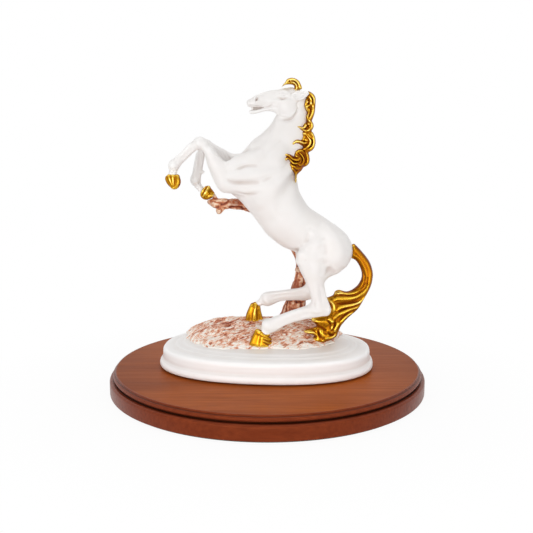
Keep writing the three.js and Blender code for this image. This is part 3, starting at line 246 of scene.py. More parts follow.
# Oval base: a hollow resin casting with a foot fillet, a torus, an upright fascia with a rounded rim,
# and two soft steps up to the rock. It is sprayed gloss white, with painted shade in its creases and a
# painted highlight on its torus and fascia.

PLINTH_TOP = 22.5  # the figure's own heights start here
PLATEAU = 22.8  # the flat top of the base
BASE_HALF_LENGTH, BASE_HALF_WIDTH, BASE_OFFSET = 102, 71.5, -1
BASE_ROUNDNESS = 2 / 2.3  # 1 would be an ellipse
BASE_TURN = math.radians(-6)
BASE_STEPS = 288

enamel = Finish("white_enamel")
enamel_relief = enamel.relief()
tone_cloud = enamel.noise(45, detail=2)
# painted shade: a warm grey laid into the creases, where the relief is low
crease_shade_share = enamel.spread(enamel_relief, 0.16, 0.43, 0.9, 0.0)
clean_white = enamel.steps(tone_cloud, (0.3, 238, 234, 231), (0.7, 242, 239, 237))
crease_shade_colour = enamel.steps(tone_cloud, (0.3, 204, 191, 184), (0.7, 214, 205, 200))
# painted highlight: ridges, and the base's torus and fascia, are painted a brighter white
painted_highlight_white = enamel.blend(enamel.spread(enamel_relief, 0.7, 0.97), clean_white, colour(252, 251, 250))
with_crease_shade = enamel.blend(crease_shade_share, painted_highlight_white, crease_shade_colour)
# painted shade: holes such as the nostrils, the mouth and the gap under the base's foot are painted dark
# grey-brown
shade_in_holes = enamel.spread(enamel_relief, 0.02, 0.14, 1.0, 0.0)
enamel.coat(
    Base_Color=enamel.blend(shade_in_holes, with_crease_shade, colour(112, 92, 84)),
    Roughness=enamel.spread(tone_cloud, 0.3, 0.7, 0.36, 0.44),
    Coat_Weight=0.12, Coat_Roughness=0.25, Specular_IOR_Level=0.4,
)


def table(text):
    """Rows of numbers, parted by commas."""
    return np.array([row.split() for row in text.split(",")], float)


def smooth_path(rows, steps):
    """A smooth curve through rows of numbers, with the given number of steps between rows."""
    ends = np.vstack([2 * rows[0] - rows[1], rows, 2 * rows[-1] - rows[-2]])
    share = np.arange(steps)[:, None] / steps
    path = []
    for a, b, c, d in zip(ends, ends[1:], ends[2:], ends[3:]):
        path.append(b + 0.5 * share * ((c - a) + share * ((2 * a - 5 * b + 4 * c - d)
                    + share * (3 * (b - c) + d - a))))
    return np.vstack([*path, rows[-1:]])


def base_ring(inset, height):
    """One level line of the base: an oval squarer than an ellipse, turned a little off the horse's line."""
    angle = np.arange(BASE_STEPS) * math.tau / BASE_STEPS
    x = (BASE_HALF_LENGTH - inset) * np.sign(np.cos(angle)) * np.abs(np.cos(angle)) ** BASE_ROUNDNESS
    y = (BASE_HALF_WIDTH - inset) * np.sign(np.sin(angle)) * np.abs(np.sin(angle)) ** BASE_ROUNDNESS
    c, s = math.cos(BASE_TURN), math.sin(BASE_TURN)
    return np.stack([x * c - y * s + BASE_OFFSET, x * s + y * c, 0 * x + PLINTH_TOP + height], 1)


# inset from the foot, height and relief, from the foot up; a low relief paints shade into the shadow gap
# under the foot and the notch above the torus, a high one paints a highlight on the torus and fascia
base_profile = smooth_path(table("""
3.8 0 0, 3.7 0.5 0, 3 0.8 0, 1.9 0.9 0.3, 1.2 1.15 0.8, 0.6 1.75 1, 0.15 2.6 1, 0 3.6 1, 0.1 4.8 1,
0.5 6 0.95, 1.2 7.2 0.85, 2.1 8.2 0.55, 2.75 9.1 0.42, 3.05 10.4 0.75, 3.1 13 1, 3.15 15.2 1, 3.4 16.8 1,
4 18 1, 5 18.9 0.95, 6.6 19.5 0.9, 9.4 20 0.85, 12.6 20.35 0.75, 14.4 20.85 0.7, 16 21.35 0.85, 19 21.6 0.8,
20.8 22 0.7, 22.4 22.5 0.85, 26 22.8 0.8, 34 22.8 0.8
"""), 4)
base_rings = np.array([base_ring(inset, height) for inset, height, _ in base_profile])
base_points, *base_faces = skin_over(base_rings)
shape("oval_base", base_points, base_faces, enamel, ["base_casting"],
      relief=[*np.repeat(base_profile[:, 2], BASE_STEPS), 0.0, 0.7])

# Rock ground: the same casting's rough top, here its own piece. It is carved with ledges and pits, painted
# white and rubbed with a rust wash that stays in the hollows and thins out towards the front edge.


BUMP_REPEAT = 32  # bumps before the pattern comes round again


def corners(share):
    """The corners of a grid cell, each with its weight for points that lie at share across the cell."""
    for corner in np.ndindex(2, 2, 2):
        yield corner, np.prod(np.abs(1 - np.array(corner) - share), -1)


def bumps(points, size, seed):
    """Smooth random heights between -1 and 1 at points, with bumps about as wide as size."""
    heights = np.random.default_rng(seed).uniform(-1, 1, [BUMP_REPEAT] * 3)
    cell = np.asarray(points, float) / size
    low = np.floor(cell).astype(int)
    share = cell - low
    total = np.zeros(cell.shape[:-1])
    for corner, weight in corners(share * share * (3 - 2 * share)):
        total += weight * heights[tuple(np.moveaxis((low + corner) % BUMP_REPEAT, -1, 0))]
    return total


ROCK_STEPS = 480
ROCK_MIDDLE = [-4, 26]
ROCK_HALF_LENGTH, ROCK_FRONT, ROCK_BACK = 77, 57, 24
ROCK_RISE = 15.8


def rock_fall(x, y):
    """How far points off the rock's middle are down its slope: 0 in the middle, 1 at its edge."""
    return np.abs(x / ROCK_HALF_LENGTH) ** 4 + np.abs(y / np.where(y < 0, ROCK_FRONT, ROCK_BACK)) ** 1.6


rock_shares = np.concatenate([[1.0, 1.0, 0.992, 0.98], np.linspace(0.97, 0.02, 116)])
rock_angles = np.arange(ROCK_STEPS) * math.tau / ROCK_STEPS
rock_reach = np.zeros(ROCK_STEPS)
too_far = np.full(ROCK_STEPS, 140.0)
for _ in range(30):
    halfway = (rock_reach + too_far) / 2
    inside = rock_fall(halfway * np.cos(rock_angles), halfway * np.sin(rock_angles)) < 1
    rock_reach, too_far = np.where(inside, halfway, rock_reach), np.where(inside, too_far, halfway)
ragged = 1 + sum(size * np.sin(waves * rock_angles + start) for size, waves, start in (
    (0.02, 5, 0), (0.015, 11, 1), (0.012, 23, 0), (0.008, 41, 2),
))
rock_dx = rock_shares[:, None] * rock_reach * ragged * np.cos(rock_angles)
rock_dy = rock_shares[:, None] * rock_reach * ragged * np.sin(rock_angles)
rock_flat = np.stack([rock_dx + ROCK_MIDDLE[0], rock_dy + ROCK_MIDDLE[1], 0 * rock_dx], -1)
rock_rise = np.clip(1 - rock_fall(rock_dx, rock_dy), 0, 1)
ledges = bumps(rock_flat * [1, 1.4, 1], 12, 3)
skewed = rock_flat @ np.array([[0.86, 0.51, 0], [-0.51, 0.86, 0], [0, 0, 1]]).T


def wrinkled(stretch, bend, size, seed):
    """Sharp crooked ridges, 1 on their crests, that run slantwise over the rock."""
    return 1 - 2 * np.abs(bumps(skewed * stretch + bend * ledges[..., None], size, seed))


folds = wrinkled([0.36, 1.05, 1], 2, 2.7, 4)
wrinkles = wrinkled([0.36, 1, 1], 1.2, 1.6, 5)
strokes_of_paint = wrinkled([0.28, 1.1, 1], 1.6, 2, 14)
rock_detail = 1.1 * ledges + 0.75 * folds + 0.45 * wrinkles + 0.25 * bumps(rock_flat, 1.3, 6)
rock_z = PLINTH_TOP + PLATEAU + 0.9 + ROCK_RISE * rock_rise + rock_detail * np.clip(rock_rise * 5, 0.2, 1)
rock_z[0] = PLINTH_TOP + PLATEAU - 0.2
tatters = 0.8 * bumps(rock_flat, 3.1, 7) + 0.7 * bumps(rock_flat, 1.4, 8)
ragged_rim = np.clip(0.8 - 6 * rock_rise + tatters, 0, 1) * np.clip(0.2 - rock_dy / 18, 0.2, 1)
rock_mark = np.clip(0.3 + 0.2 * folds + 0.16 * wrinkles + 0.24 * strokes_of_paint
                    + 0.16 * bumps(skewed * [0.7, 1, 1], 7, 9), 0, 1)
rock_mark += (1 - rock_mark) * ragged_rim

stone = Finish("rubbed_stone_paint")
stone_specks = stone.noise(760, detail=5, rough=0.75, stretch=(0.27, 1, 1), turn=-0.5, bend=0.8)
stone_wear = stone.reckon("MULTIPLY_ADD", stone_specks, 2.5, stone.relief())
stone.coat(
    Base_Color=stone.steps(
        stone.spread(stone_wear, 1.24, 2.24),
        (0.12, 132, 50, 22), (0.27, 182, 90, 54), (0.4, 216, 136, 96),
        (0.52, 234, 176, 142), (0.64, 245, 212, 189), (0.78, 252, 246, 238),
    ),
    Roughness=stone.spread(stone_specks, 0.3, 0.7, 0.4, 0.62), Normal=stone.grain(stone_specks, 0.25),
    Specular_IOR_Level=0.4,
)
rock_points, *rock_faces = skin_over(np.dstack([rock_flat[..., :2], rock_z]))
shape("rock_top", rock_points, rock_faces, stone, ["rock_ground"],
      relief=[*rock_mark.reshape(-1), 0.5, 0.5])

# Tree stump: a leaning trunk cast with the rock, a side branch that ends in a broken point with one cut
# stub, and a short prop that holds up the far fore hoof. The bark is painted salmon and rubbed with rust.

ADD, TAKE = 1, -1
FAR_OUT = 99.0  # any distance well outside the clay
LEAST_RELIEF = 0.09  # added darkening never goes as dark as the painted shade in holes


class Clay:
    """Modelling clay on a fine grid, in millimetres over the plinth top. Below zero is inside."""

    def __init__(self, low, high, cell, reach=0.0):
        self.cell = cell
        self.reach = reach  # the widest fillet that a later form may need
        self.first = np.floor(np.array(low) / cell).astype(int)
        self.field = np.full(np.ceil(np.array(high) / cell).astype(int) - self.first + 1, FAR_OUT, np.float32)

    def axes(self):
        return [(np.arange(count) + first) * self.cell for count, first in zip(self.field.shape, self.first)]

    def skin(self):
        """The grid points within 3 mm of the surface, as a mask, and where they are."""
        near = np.abs(self.field) < 3
        return near, (np.argwhere(near) + self.first) * self.cell

    def press(self, cut, distance, soft, work=ADD):
        """Joins a form on or takes it away, with a fillet about as wide as soft."""
        old = work * self.field[cut]
        share = np.clip(0.5 + 0.5 * (old - distance) / soft, 0, 1)
        self.field[cut] = work * (old + (distance - old) * share - soft * share * (1 - share))

    def window(self, low, high):
        """The part of the grid inside a box: its slices, and its x, y and z."""
        start = np.clip(np.floor(low / self.cell).astype(int) - self.first, 0, None)
        stop = np.ceil(high / self.cell).astype(int) - self.first + 1
        cut = tuple(slice(a, b) for a, b in zip(start, stop))
        axes = [axis[part].astype(np.float32) for axis, part in zip(self.axes(), cut)]
        return cut, np.meshgrid(*axes, indexing="ij", sparse=True)

    def rope(self, points, soft, work=ADD):
        """A tapering rope along [x, y, z, radius] points."""
        points = np.array(points, float)
        reach = points[:, 3].max() + soft + 2 * self.cell
        cut, (x, y, z) = self.window(points[:, :3].min(0) - reach, points[:, :3].max(0) + reach)
        distance = np.full((x.size, y.size, z.size), 60.0, np.float32)
        corner = np.array([x.flat[0], y.flat[0], z.flat[0]])
        for a, b in zip(points[:-1], points[1:]):
            near = max(a[3], b[3]) + soft + 2 * self.cell
            low = np.clip(((np.minimum(a, b)[:3] - near - corner) / self.cell).astype(int), 0, None)
            high = ((np.maximum(a, b)[:3] + near - corner) / self.cell).astype(int) + 2
            i, j, k = (slice(p, q) for p, q in zip(low, high))
            step = b[:3] - a[:3]
            way = list(zip((x[i] - a[0], y[:, j] - a[1], z[:, :, k] - a[2]), step))
            share = np.clip(sum(p * s for p, s in way) / max(step @ step, 1e-6), 0, 1)
            there = np.sqrt(sum((p - share * s) ** 2 for p, s in way)) - (a[3] + (b[3] - a[3]) * share)
            distance[i, j, k] = np.minimum(distance[i, j, k], there)
        self.press(cut, distance, soft, work)

    def ball(self, centre, radii, soft, tilt=0.0, work=ADD):
        """An egg with the given radii, tilted in the x-z plane by degrees."""
        centre = np.array(centre)
        reach = max(radii) + soft + 2 * self.cell
        cut, axes = self.window(centre - reach, centre + reach)
        x, y, z = (axis - middle for axis, middle in zip(axes, centre))
        c, s = math.cos(math.radians(tilt)), math.sin(math.radians(tilt))
        shares = [off / radius for off, radius in zip((x * c + z * s, y, z * c - x * s), radii)]
        size = np.sqrt(sum(share ** 2 for share in shares))
        slope = np.sqrt(sum((share / radius) ** 2 for share, radius in zip(shares, radii)))
        self.press(cut, (size * (size - 1) / np.maximum(slope, 1e-4)).astype(np.float32), soft, work)

    def form(self, sections, soft, taper=0.0, steps=6, around=44):
        """A limb or trunk over sections of front x and z, back x and z, middle y and half width."""
        front_x, front_z, back_x, back_z, middle_y, half = smooth_path(sections, steps).T[..., None]
        angle = np.arange(around) * math.tau / around
        points, quads, ends = skin_over(np.stack([
            (front_x + back_x) / 2 + (front_x - back_x) / 2 * np.cos(angle),
            middle_y + half * np.sin(angle) * (1 + taper * np.cos(angle)),
            (front_z + back_z) / 2 + (front_z - back_z) / 2 * np.cos(angle),
        ], -1))
        solid = openvdb.FloatGrid.createLevelSetFromPolygons(
            points.astype(np.float32), triangles=ends.astype(np.uint32), quads=quads.astype(np.uint32),
            transform=openvdb.createLinearTransform(self.cell),
            halfWidth=max(soft, self.reach) / self.cell + 3,
        )
        low, high = solid.evalActiveVoxelBoundingBox()
        start = np.maximum(low, self.first)
        stop = np.minimum(np.array(high) + 1, self.first + self.field.shape)
        distance = np.zeros(stop - start, np.float32)
        solid.copyToArray(distance, ijk=tuple(int(v) for v in start))
        cut = tuple(slice(a, b) for a, b in zip(start - self.first, stop - self.first))
        self.press(cut, distance, soft)

    def rub(self):
        """Smooths the clay with a damp sponge."""
        for axis in (0, 1, 2):
            field = np.moveaxis(self.field, axis, 0)
            field[1:-1] += 0.25 * (field[2:] + field[:-2] - 2 * field[1:-1])

    def cast(self, relief_width):
        """The clay's surface as points, quads and a relief, below zero in grooves and above on ridges."""
        thick = 3 * self.cell + relief_width
        field = np.clip(self.field, -thick, thick)
        grid = openvdb.FloatGrid(thick)
        grid.copyFromArray(field, ijk=tuple(int(v) for v in self.first))
        grid.transform = openvdb.createLinearTransform(self.cell)
        grid.gridClass = openvdb.GridClass.LEVEL_SET
        points, quads = grid.convertToQuads()
        reach = max(1, int(round(relief_width / self.cell)))
        width = 2 * reach + 1
        around = field
        for axis in (0, 0, 1, 1, 2, 2):
            padded = np.pad(np.moveaxis(around, axis, 0), [(reach + 1, reach), (0, 0), (0, 0)], mode="edge")
            total = np.cumsum(padded, axis=0, dtype=np.float64)
            around = np.moveaxis((total[width:] - total[:-width]) / width, 0, axis).astype(np.float32)
        place = points / self.cell - self.first
        low = np.clip(np.floor(place).astype(int), 0, np.array(field.shape) - 2)
        value = np.zeros(len(points))
        for corner, weight in corners(place - low):
            value += weight * around[tuple((low + corner).T)]
        return points, quads[:, ::-1], value


def clay_piece(name, clay, finish, stands_for, relief_width, relief_gain, darkening=None):
    """Casts the clay, sets it on the plinth top and gives it its finish, with a lower relief, and so darker
    paint, where darkening is given.
    """
    points, quads, value = clay.cast(relief_width)
    first = points[quads[:, 0]]
    normal = np.cross(points[quads[:, 2]] - first, points[quads[:, 3]] - points[quads[:, 1]])
    if (first * normal).sum() < 0:
        quads = quads[:, ::-1]
    value = 0.5 + relief_gain * value
    if darkening is not None:
        value = np.minimum(value, np.maximum(value - darkening(*points.T), LEAST_RELIEF))
    shape(name, points + [0, 0, PLINTH_TOP], [quads], finish, stands_for, relief=np.clip(value, 0, 1))


TRUNK_FOOT = np.array([24, 36])
bark_clay = Clay([-62, 4, 18], [60, 58, 164], 0.7)
trunk_line = smooth_path(table("""
24 36 21 17.5, 24 36 27 14.6, 26 36 42 11.6, 30 36 58 9, 34 35 76 7.6, 36 33 92 7.7, 31 31 108 7.4,
17 29 125 7, 2 27 139 6.4, -9 25 147 5.6
"""), 5)
branch_line = smooth_path(table("""
-5 25.6 144.5 5.8, -14 22.5 149 5.4, -24 18.5 152 5.2, -34 14.5 153 5, -45 13 153.4 4.6, -51 12.6 154.2 3.8,
-54.4 12.5 155.4 2.6
"""), 5)
bark_clay.rope(trunk_line, 3)
bark_clay.rope(branch_line, 3)
bark_clay.rope(table("-41.5 12.5 151 2.8, -45 10.5 147.8 3, -46 9.8 146.6 2.9"), 1)  # the cut stub
bark_clay.rope(table("-53.6 14.4 164.5 1.9, -49.4 14 159 1.8, -46.5 13.4 154 2.6"), 1)  # the prop
for root_angle, root_length in ((200, 15), (250, 19), (300, 14), (20, 12), (100, 10)):
    out = np.array([math.cos(math.radians(root_angle)), math.sin(math.radians(root_angle))])
    bark_clay.rope([
        [*(TRUNK_FOOT + reach * out), z, radius]
        for reach, z, radius in ((8, 36, 4), (13, 29, 3.6), (root_length, 24, 3))
    ], 4)
for *knot, size in table("21 26 62 3.2, 30 24.5 88 2.6, -22 13.5 152 2, 22 22.8 117 2.4"):
    bark_clay.ball(knot, [size * 1.1, size, size * 1.3], 2.2)

# the bark's furrows follow the middle line of trunk and branch
near_bark, furrow_places = bark_clay.skin()
bark_path = np.vstack([trunk_line, branch_line])[:, :3]
nearest_bark = np.full(len(furrow_places), 1e9)
along_bark = np.zeros((len(furrow_places), 3))
walked = 0.0
for a, b in zip(bark_path[:-1], bark_path[1:]):
    step = b - a
    length = max(np.linalg.norm(step), 1e-6)
    share = np.clip((furrow_places - a) @ step / length ** 2, 0, 1)
    off = furrow_places - a - share[:, None] * step
    gap = np.linalg.norm(off, axis=1)
    closer = gap < nearest_bark
    nearest_bark[closer] = gap[closer]
    across = off @ np.array([step[2], 0, -step[0]]) / length
    along_bark[closer] = np.stack([off[:, 1], across, 0.24 * (walked + share * length)], -1)[closer]
    walked += length
furrows = 0.9 * np.clip(0.28 - np.abs(bumps(along_bark, 3.3, 11)), 0, 0.28) / 0.28 \
    + 0.4 * bumps(along_bark, 1.9, 12) + 0.35 * bumps(furrow_places, 1.6, 13)
bark_clay.field[near_bark] += (furrows - 0.2).astype(np.float32)

bark = Finish("rubbed_bark_paint")
bark_specks = bark.noise(560, detail=5, rough=0.75, bend=0.5)
bark_patches = bark.noise(70, detail=3)
bark_wear = bark.reckon("MULTIPLY_ADD", bark_specks, 0.85, bark.relief())
bark_paint = bark.steps(
    bark.spread(bark_wear, 0.54, 1.54),
    (0.12, 70, 24, 12), (0.3, 124, 52, 26), (0.46, 170, 92, 56),
    (0.58, 194, 118, 80), (0.72, 220, 162, 124), (0.88, 244, 218, 192),
)
bark.coat(
    Base_Color=bark.blend(bark.spread(bark_patches, 0.4, 0.62, 0.0, 0.7), bark_paint, colour(150, 70, 42)),
    Roughness=bark.spread(bark_specks, 0.3, 0.7, 0.36, 0.6), Normal=bark.grain(bark_specks, 0.2),
    Specular_IOR_Level=0.4,
)
clay_piece("tree_stump", bark_clay, bark, ["tree_trunk", "tree_branch", "hoof_prop"], 1.4, 1)

# Horse: torso, neck and four legs are separate resin castings, pinned together, filled at the joints and
# sprayed gloss white as one skin. Folds over the chest and flank are carved and get a little painted shade.

horse = Clay([-97, -32, 28], [86, 30, 252], 0.78, reach=9)
horse.form(table("""
-28 191 -34 182 0 8, -18 201 -36 174 0 16.2, 4 201 -34 165 0 20.7, 22 189 -27 159 0 22.5,
28.5 171 -18 149 0 22.5, 32 162 -9 137.5 0 22, 38 152.5 -1 126.5 0 21.6, 47 146 8.5 118.5 0 20.7,
56.5 140 18.5 112.5 0 20.2, 66 133.5 30 107.5 0 22, 74.5 126 46 97 0 23, 79.5 117 60 88 0 20.7,
80.5 109 70 93.5 0 14, 79 104 76 99.5 0 5
"""), 1)
horse.form(table("""
-33 188 24 166 0 16.2, -27.4 196.4 27 182 0 14.3, -21 204.5 29.5 195 0 12.6, -14.1 212.7 33 206 0 11.2,
-4.6 220 35.5 217 0 9.8, 3 228.2 36.5 228 0 8.3, 7.6 235.5 37 238 0 7.2, 13 241 37.4 247.5 0 6.4,
19 247 35.6 254 0 5.6
"""), 6, taper=0.28)
# near and far foreleg, near and far hind leg
for fillet, leg in ((5, """
14 193 2 180 -11.5 5, 2 200 -8 172 -12.5 8, -13 202.5 -17 168 -13.5 9.2, -26 199 -29 166 -14.5 9,
-35 194.5 -41 166.5 -16 9, -40.5 197 -47.5 174.5 -16.5 8.3, -46 203 -51.8 184.5 -16 7.2,
-51.3 209 -55.2 194 -15.5 6.3, -57.5 216 -57.5 202 -15 5.9, -63.5 216.3 -60.3 205.6 -15 5.8,
-68.9 212 -65.4 204 -15 4.6, -73.7 207.4 -69.2 200.6 -15 4, -79.3 202.2 -75.1 194.6 -15 3.9,
-83.5 198.4 -78.3 191.2 -15 4.2, -87.4 195.2 -80 188.6 -15 4.9, -89.8 191.6 -81.5 186.4 -15 5,
-89.5 187 -82.4 184.6 -15 4.2, -90.4 182 -82.4 182.4 -15 4.6
"""), (5, """
14 193 2 180 11.5 5, 2 200 -8 174 12.5 8, -12 203 -15 171 13.5 9.2, -24 200.5 -26 172 14.5 8.6,
-33.2 200.8 -34.6 179 15 8.1, -41 204.8 -43.5 190 15 7, -50 209.6 -49.5 198 15 6.1,
-57 214.6 -55 202 14.5 5.8, -64.3 214 -56.8 204 14.5 5.8, -65.4 204.9 -58.3 200 14.5 5.3,
-66.6 199.3 -59.3 196 14.5 4.4, -68.2 192.3 -60.5 190.4 14.5 4, -69.8 187.1 -61.4 186.2 14.5 4,
-71 182.9 -61.8 182.4 14.5 4.1, -72.4 179 -62.9 178.7 14.5 4.6, -72.9 175.2 -63.6 175.2 14.5 4.9,
-71 171.2 -62.9 172.2 14.5 4.6, -67.2 166.9 -61.4 170.2 14.5 4.1, -63.2 163.6 -60 168.9 14.5 4.5
"""), (4, """
52 133 70 126 -11 5.2, 40 125 75 115 -12 9.8, 31 116 73.5 106 -12.4 11.5, 27 106 66 97.5 -13.6 11.5,
28.4 99 59.5 93 -15.2 10.6, 31.2 92 55.6 88.6 -17 9.2, 34.6 85.6 53.4 84.4 -18.6 7.4,
37 79.6 52.6 79.2 -19.4 6.2, 39 73.6 52.7 73.6 -20 5.5, 40.4 68.4 53.6 68.2 -20 5.2,
40.4 65 55.6 63.4 -20 5.3, 37.8 62.4 58.2 58 -20.2 5.4, 34.4 60.9 57.2 52.8 -20.4 5.3,
29.4 59.3 47 51.2 -20.8 4.8, 23.6 57.6 36.6 49.2 -21.2 4.5, 15.4 54.9 26 46.4 -21.6 4.5,
8.6 52.5 17 43.2 -22 4.6, 1.6 49.9 10 39.4 -22.4 5.1, -3.2 47.4 5.4 36.8 -22.7 5.2,
-4.8 43.6 2.4 35.4 -23 4.5, -6.2 38.6 0.6 33.6 -23.5 4.6
"""), (4, """
54 133 71 126 11 5.2, 44 126 77 115 12 9.8, 38 116 76.5 105 12.4 11.5, 35 105 70 94 14 11.5,
35 97 63 88 15.6 10.4, 36 90 56.5 84 17.2 9, 37 83 52 79 18.4 7.4, 37.6 76 50.2 71 20 5.6,
35.4 72.4 49 62.6 20 5.3, 30.6 70.6 38.6 58.2 20 4.9, 24.6 69.7 28 58.2 20 4.5, 18 68.8 19.2 58 20 4.4,
10.6 67.9 12.4 57 20 4.6, 3.8 67.2 6.6 54.6 20 5.2, -2 65.8 1 52.6 20 5.2, -5.8 62.6 -3.2 53.6 20 4.5,
-8 59 -5.4 54 20 3.9, -11.4 56.6 -6.4 52.4 20 4.4
""")):
    horse.form(table(leg), fillet, steps=5, around=32)


def strokes(text):
    """Strokes parted by semicolons: a few numbers, a colon, and the rows of x and z along the stroke."""
    for row in text.split(";"):
        numbers, line = row.split(":")
        yield *map(float, numbers.split()), table(line)


def model(clay, side, heart, text):
    """Works strokes of width, height and softness into one side of the form whose middle is at y = heart.
    Above zero a height stands out like a muscle, below zero it sinks in; both fade at their ends."""
    for width, height, soft, line in strokes(text):
        work = ADD if height > 0 else TAKE
        points = []
        for x, z in smooth_path(line, 4):
            i, k = x / clay.cell - clay.first[0], z / clay.cell - clay.first[2]
            a, c = int(i), int(k)
            i, k = i - a, k - c
            column = (clay.field[a, :, c] * (1 - i) * (1 - k) + clay.field[a + 1, :, c] * i * (1 - k)
                      + clay.field[a, :, c + 1] * (1 - i) * k + clay.field[a + 1, :, c + 1] * i * k)
            j = int(round(heart / clay.cell)) - clay.first[1]
            if column[j] >= 0:
                continue
            while column[j + side] < 0:
                j += side
            skin = (j + side * column[j] / (column[j] - column[j + side]) + clay.first[1]) * clay.cell
            points.append([x, skin + side * (height - work * width), z, width])
        fade = np.sin(np.linspace(0.12, math.pi - 0.12, len(points)))
        if len(points) > 1:
            points = np.array(points)
            points[:, 1] -= side * height * (1 - fade)
            clay.rope(points, soft, work)


def from_line(x, z, line):
    """How far points are from a line of [x, z] rows, and how far along it, 0 to 1, they are nearest."""
    best = np.full(np.broadcast(x, z).shape, 1e9)
    along = np.zeros(best.shape)
    for number, (a, b) in enumerate(zip(line[:-1], line[1:])):
        step = b - a
        share = np.clip(((x - a[0]) * step[0] + (z - a[1]) * step[1]) / max(step @ step, 1e-9), 0, 1)
        gap = (x - a[0] - share * step[0]) ** 2 + (z - a[1] - share * step[1]) ** 2
        along = np.where(gap < best, (number + share) / (len(line) - 1), along)
        best = np.minimum(best, gap)
    return np.sqrt(best), along


def shade_near_strokes(x, z, text):
    """How much painted shade lies at points around strokes of width and share."""
    return np.max([
        share * np.exp(-(from_line(x, z, line)[0] / width) ** 2) for width, share, line in strokes(text)
    ], 0)


for side in (-1, 1):
    horse.rope([[-10, side * 6, 202.6, 6], [1, side * 7.4, 204, 7], [11, side * 8, 202, 6.6]], 6)
    horse.ball([5, side * 11.4, 196], [9, 7, 6.4], 5)
    # shoulder, ribs, flank and belly
    model(horse, side, 0, """
6 1.3 5: -8 198, -17 196, -28 192, -39 189;
5 1.4 3: 8 186, -6 183.4, -20 182, -32 182;
5.4 1.6 3: 4 174, -8 170, -22 169.6, -33 172;
1.4 -1.5 1.3: -31 187.8, -25 189, -18.5 191, -10 191.4;
2.1 -1.7 1.8: -36.6 178, -29.2 175.6, -21 175.4, -9 175.8;
1.8 -1.5 1.6: -28 165.6, -21 164.3, -15.3 164.7, -6 166;
3 -1.1 2.6: 26.4 110.4, 31.6 114.6, 34.8 120, 37 127, 40 134;
2.4 0.6 1.8: 38.3 131.4, 42.9 128.9, 45.2 125.8, 47 119.4;
2.6 0.6 1.8: 34.6 119.2, 41.5 118.1, 46.8 118.9, 53.9 122.6;
2.8 0.6 2: 30.8 109.2, 37.7 108.2, 45.4 106.4, 53.3 108.4
    """)
    # buttock, haunch and thigh
    model(horse, side, side * 8, """
2 -0.9 2.2: 53 86.6, 55.2 91.8, 59.3 97, 66.4 101.4;
4.6 1.3 3: 31 104, 33 110, 38 116
    """)
    model(horse, side, 0, """
7 1.3 3: 54 130, 61 121, 65 110, 60 99
    """)
    model(horse, side, side * 8, """
6 1 3: 45 120, 43 111, 43 101, 45 92;
3.4 -0.8 3.4: 52 124, 54 113, 53 103, 51 94;
3 -1 2.6: 62 92, 57 96, 54.6 102
    """)
    # neck, jowl and withers
    model(horse, side, 0, """
4 0.8 3: 11 229, 7 216, -1 206, -11 198;
2.2 -2.2 1.2: 28.6 241, 25.8 236.2, 21.6 232.8, 16.2 232.4, 11 233.8;
8 0.8 5: 26 196, 18 184, 6 172, -6 160;
6 -0.7 5: 34 188, 26 178, 18 166, 12 154
    """)

hamstring = table("69.4 12 101.6 6, 62.4 13.4 96 6, 55 15.4 91.4 4.6, 49.6 17 86 3.4")
for side in (-1, 1):
    horse.rope(hamstring * [1, side, 1, 1], 3)

# near foreleg: elbow, knee, tendons and fetlock
horse.rope(table("-42 -16 200 2.4, -37.6 -15 196.2 2.8, -33.4 -14 197 2.4"), 2, TAKE)
horse.ball([-27.6, -7, 196.4], [5, 6, 3.6], 2.5, 20)
horse.ball([-61.4, -15, 211.6], [5.6, 5.8, 5], 2.5, 45)
model(horse, -1, -15, """
1.6 -0.7 1.2: -66 212, -65 208, -62.6 205.6;
2.6 -0.9 2: -41 199.4, -47 205, -53.4 210.4;
2.4 0.7 1.6: -48 199, -53 206, -57 210.4;
1.4 -0.7 1.2: -69 206, -74 200.8, -79 195.4;
2 0.5 1.4: -69 209.4, -76 203, -83 197
""")
horse.ball([-85.6, -15, 191.8], [4.9, 5.4, 4.6], 2, 45)
model(horse, -1, -15, """
1.5 -0.8 1.2: -88.4 187.4, -85.6 186.4, -82.8 186.6
""")

# far foreleg, seen past the near one
horse.ball([-61.4, 14.5, 208.8], [5.2, 5.6, 5], 2.5, 45)
model(horse, -1, 14.5, """
1.2 -1.6 1: -49.5 206, -45.4 200.5, -42 196.3, -37 192.6;
1 -1.4 0.8: -44 203.4, -39.8 198.4, -35.6 194;
1 -1.4 0.8: -39 202, -35.8 198, -33.4 193.4;
1.4 -0.8 1.2: -62.6 203, -63.4 195, -64.4 188, -65 181;
1.8 0.6 1.4: -65.6 200, -67 190, -69 180
""")
horse.ball([-60.8, 13.5, 183.4], [1.7, 1.8, 1.3], 0.8, 20)
horse.ball([-68.2, 14.5, 176], [4.8, 5.3, 5.2], 2)
model(horse, -1, 14.5, """
1.4 -0.8 1.2: -69 170.4, -66 171.6, -63.4 174
""")

# near hind leg: hock with its point and tendon, cannon and fetlock
horse.ball([45.6, -20.4, 58.6], [6.4, 5.7, 5], 2.5, -20)
horse.rope(table("""
50.6 -19.6 82 1.4, 52.6 -20 75 1.7, 53.6 -20 69 2, 55.4 -20 63 2.6, 56.2 -20.2 58.4 3.3
"""), 2)
horse.ball([55.4, -20.2, 56.2], [3.4, 3.6, 4.4], 1.6, -15)
model(horse, -1, -20, """
1.8 -1.1 1.4: 49.4 82, 50.2 75, 51 68.4, 52.6 62.6;
1.7 -1.1 1.4: 42.6 66.4, 44.4 61.4, 48.6 58;
1.6 -1.1 1.4: 52.4 55.6, 46 53.6, 40 54.6, 34 54.2
""")
model(horse, -1, -21, """
1.7 -0.7 1.4: 36 54.4, 27 51.6, 17 47.6, 8 43.4;
2 0.6 1.6: 38 58.6, 26 55.6, 14 51, 3 46.6
""")
horse.ball([0.6, -22.6, 43.4], [5.7, 5.7, 5.8], 2, 20)
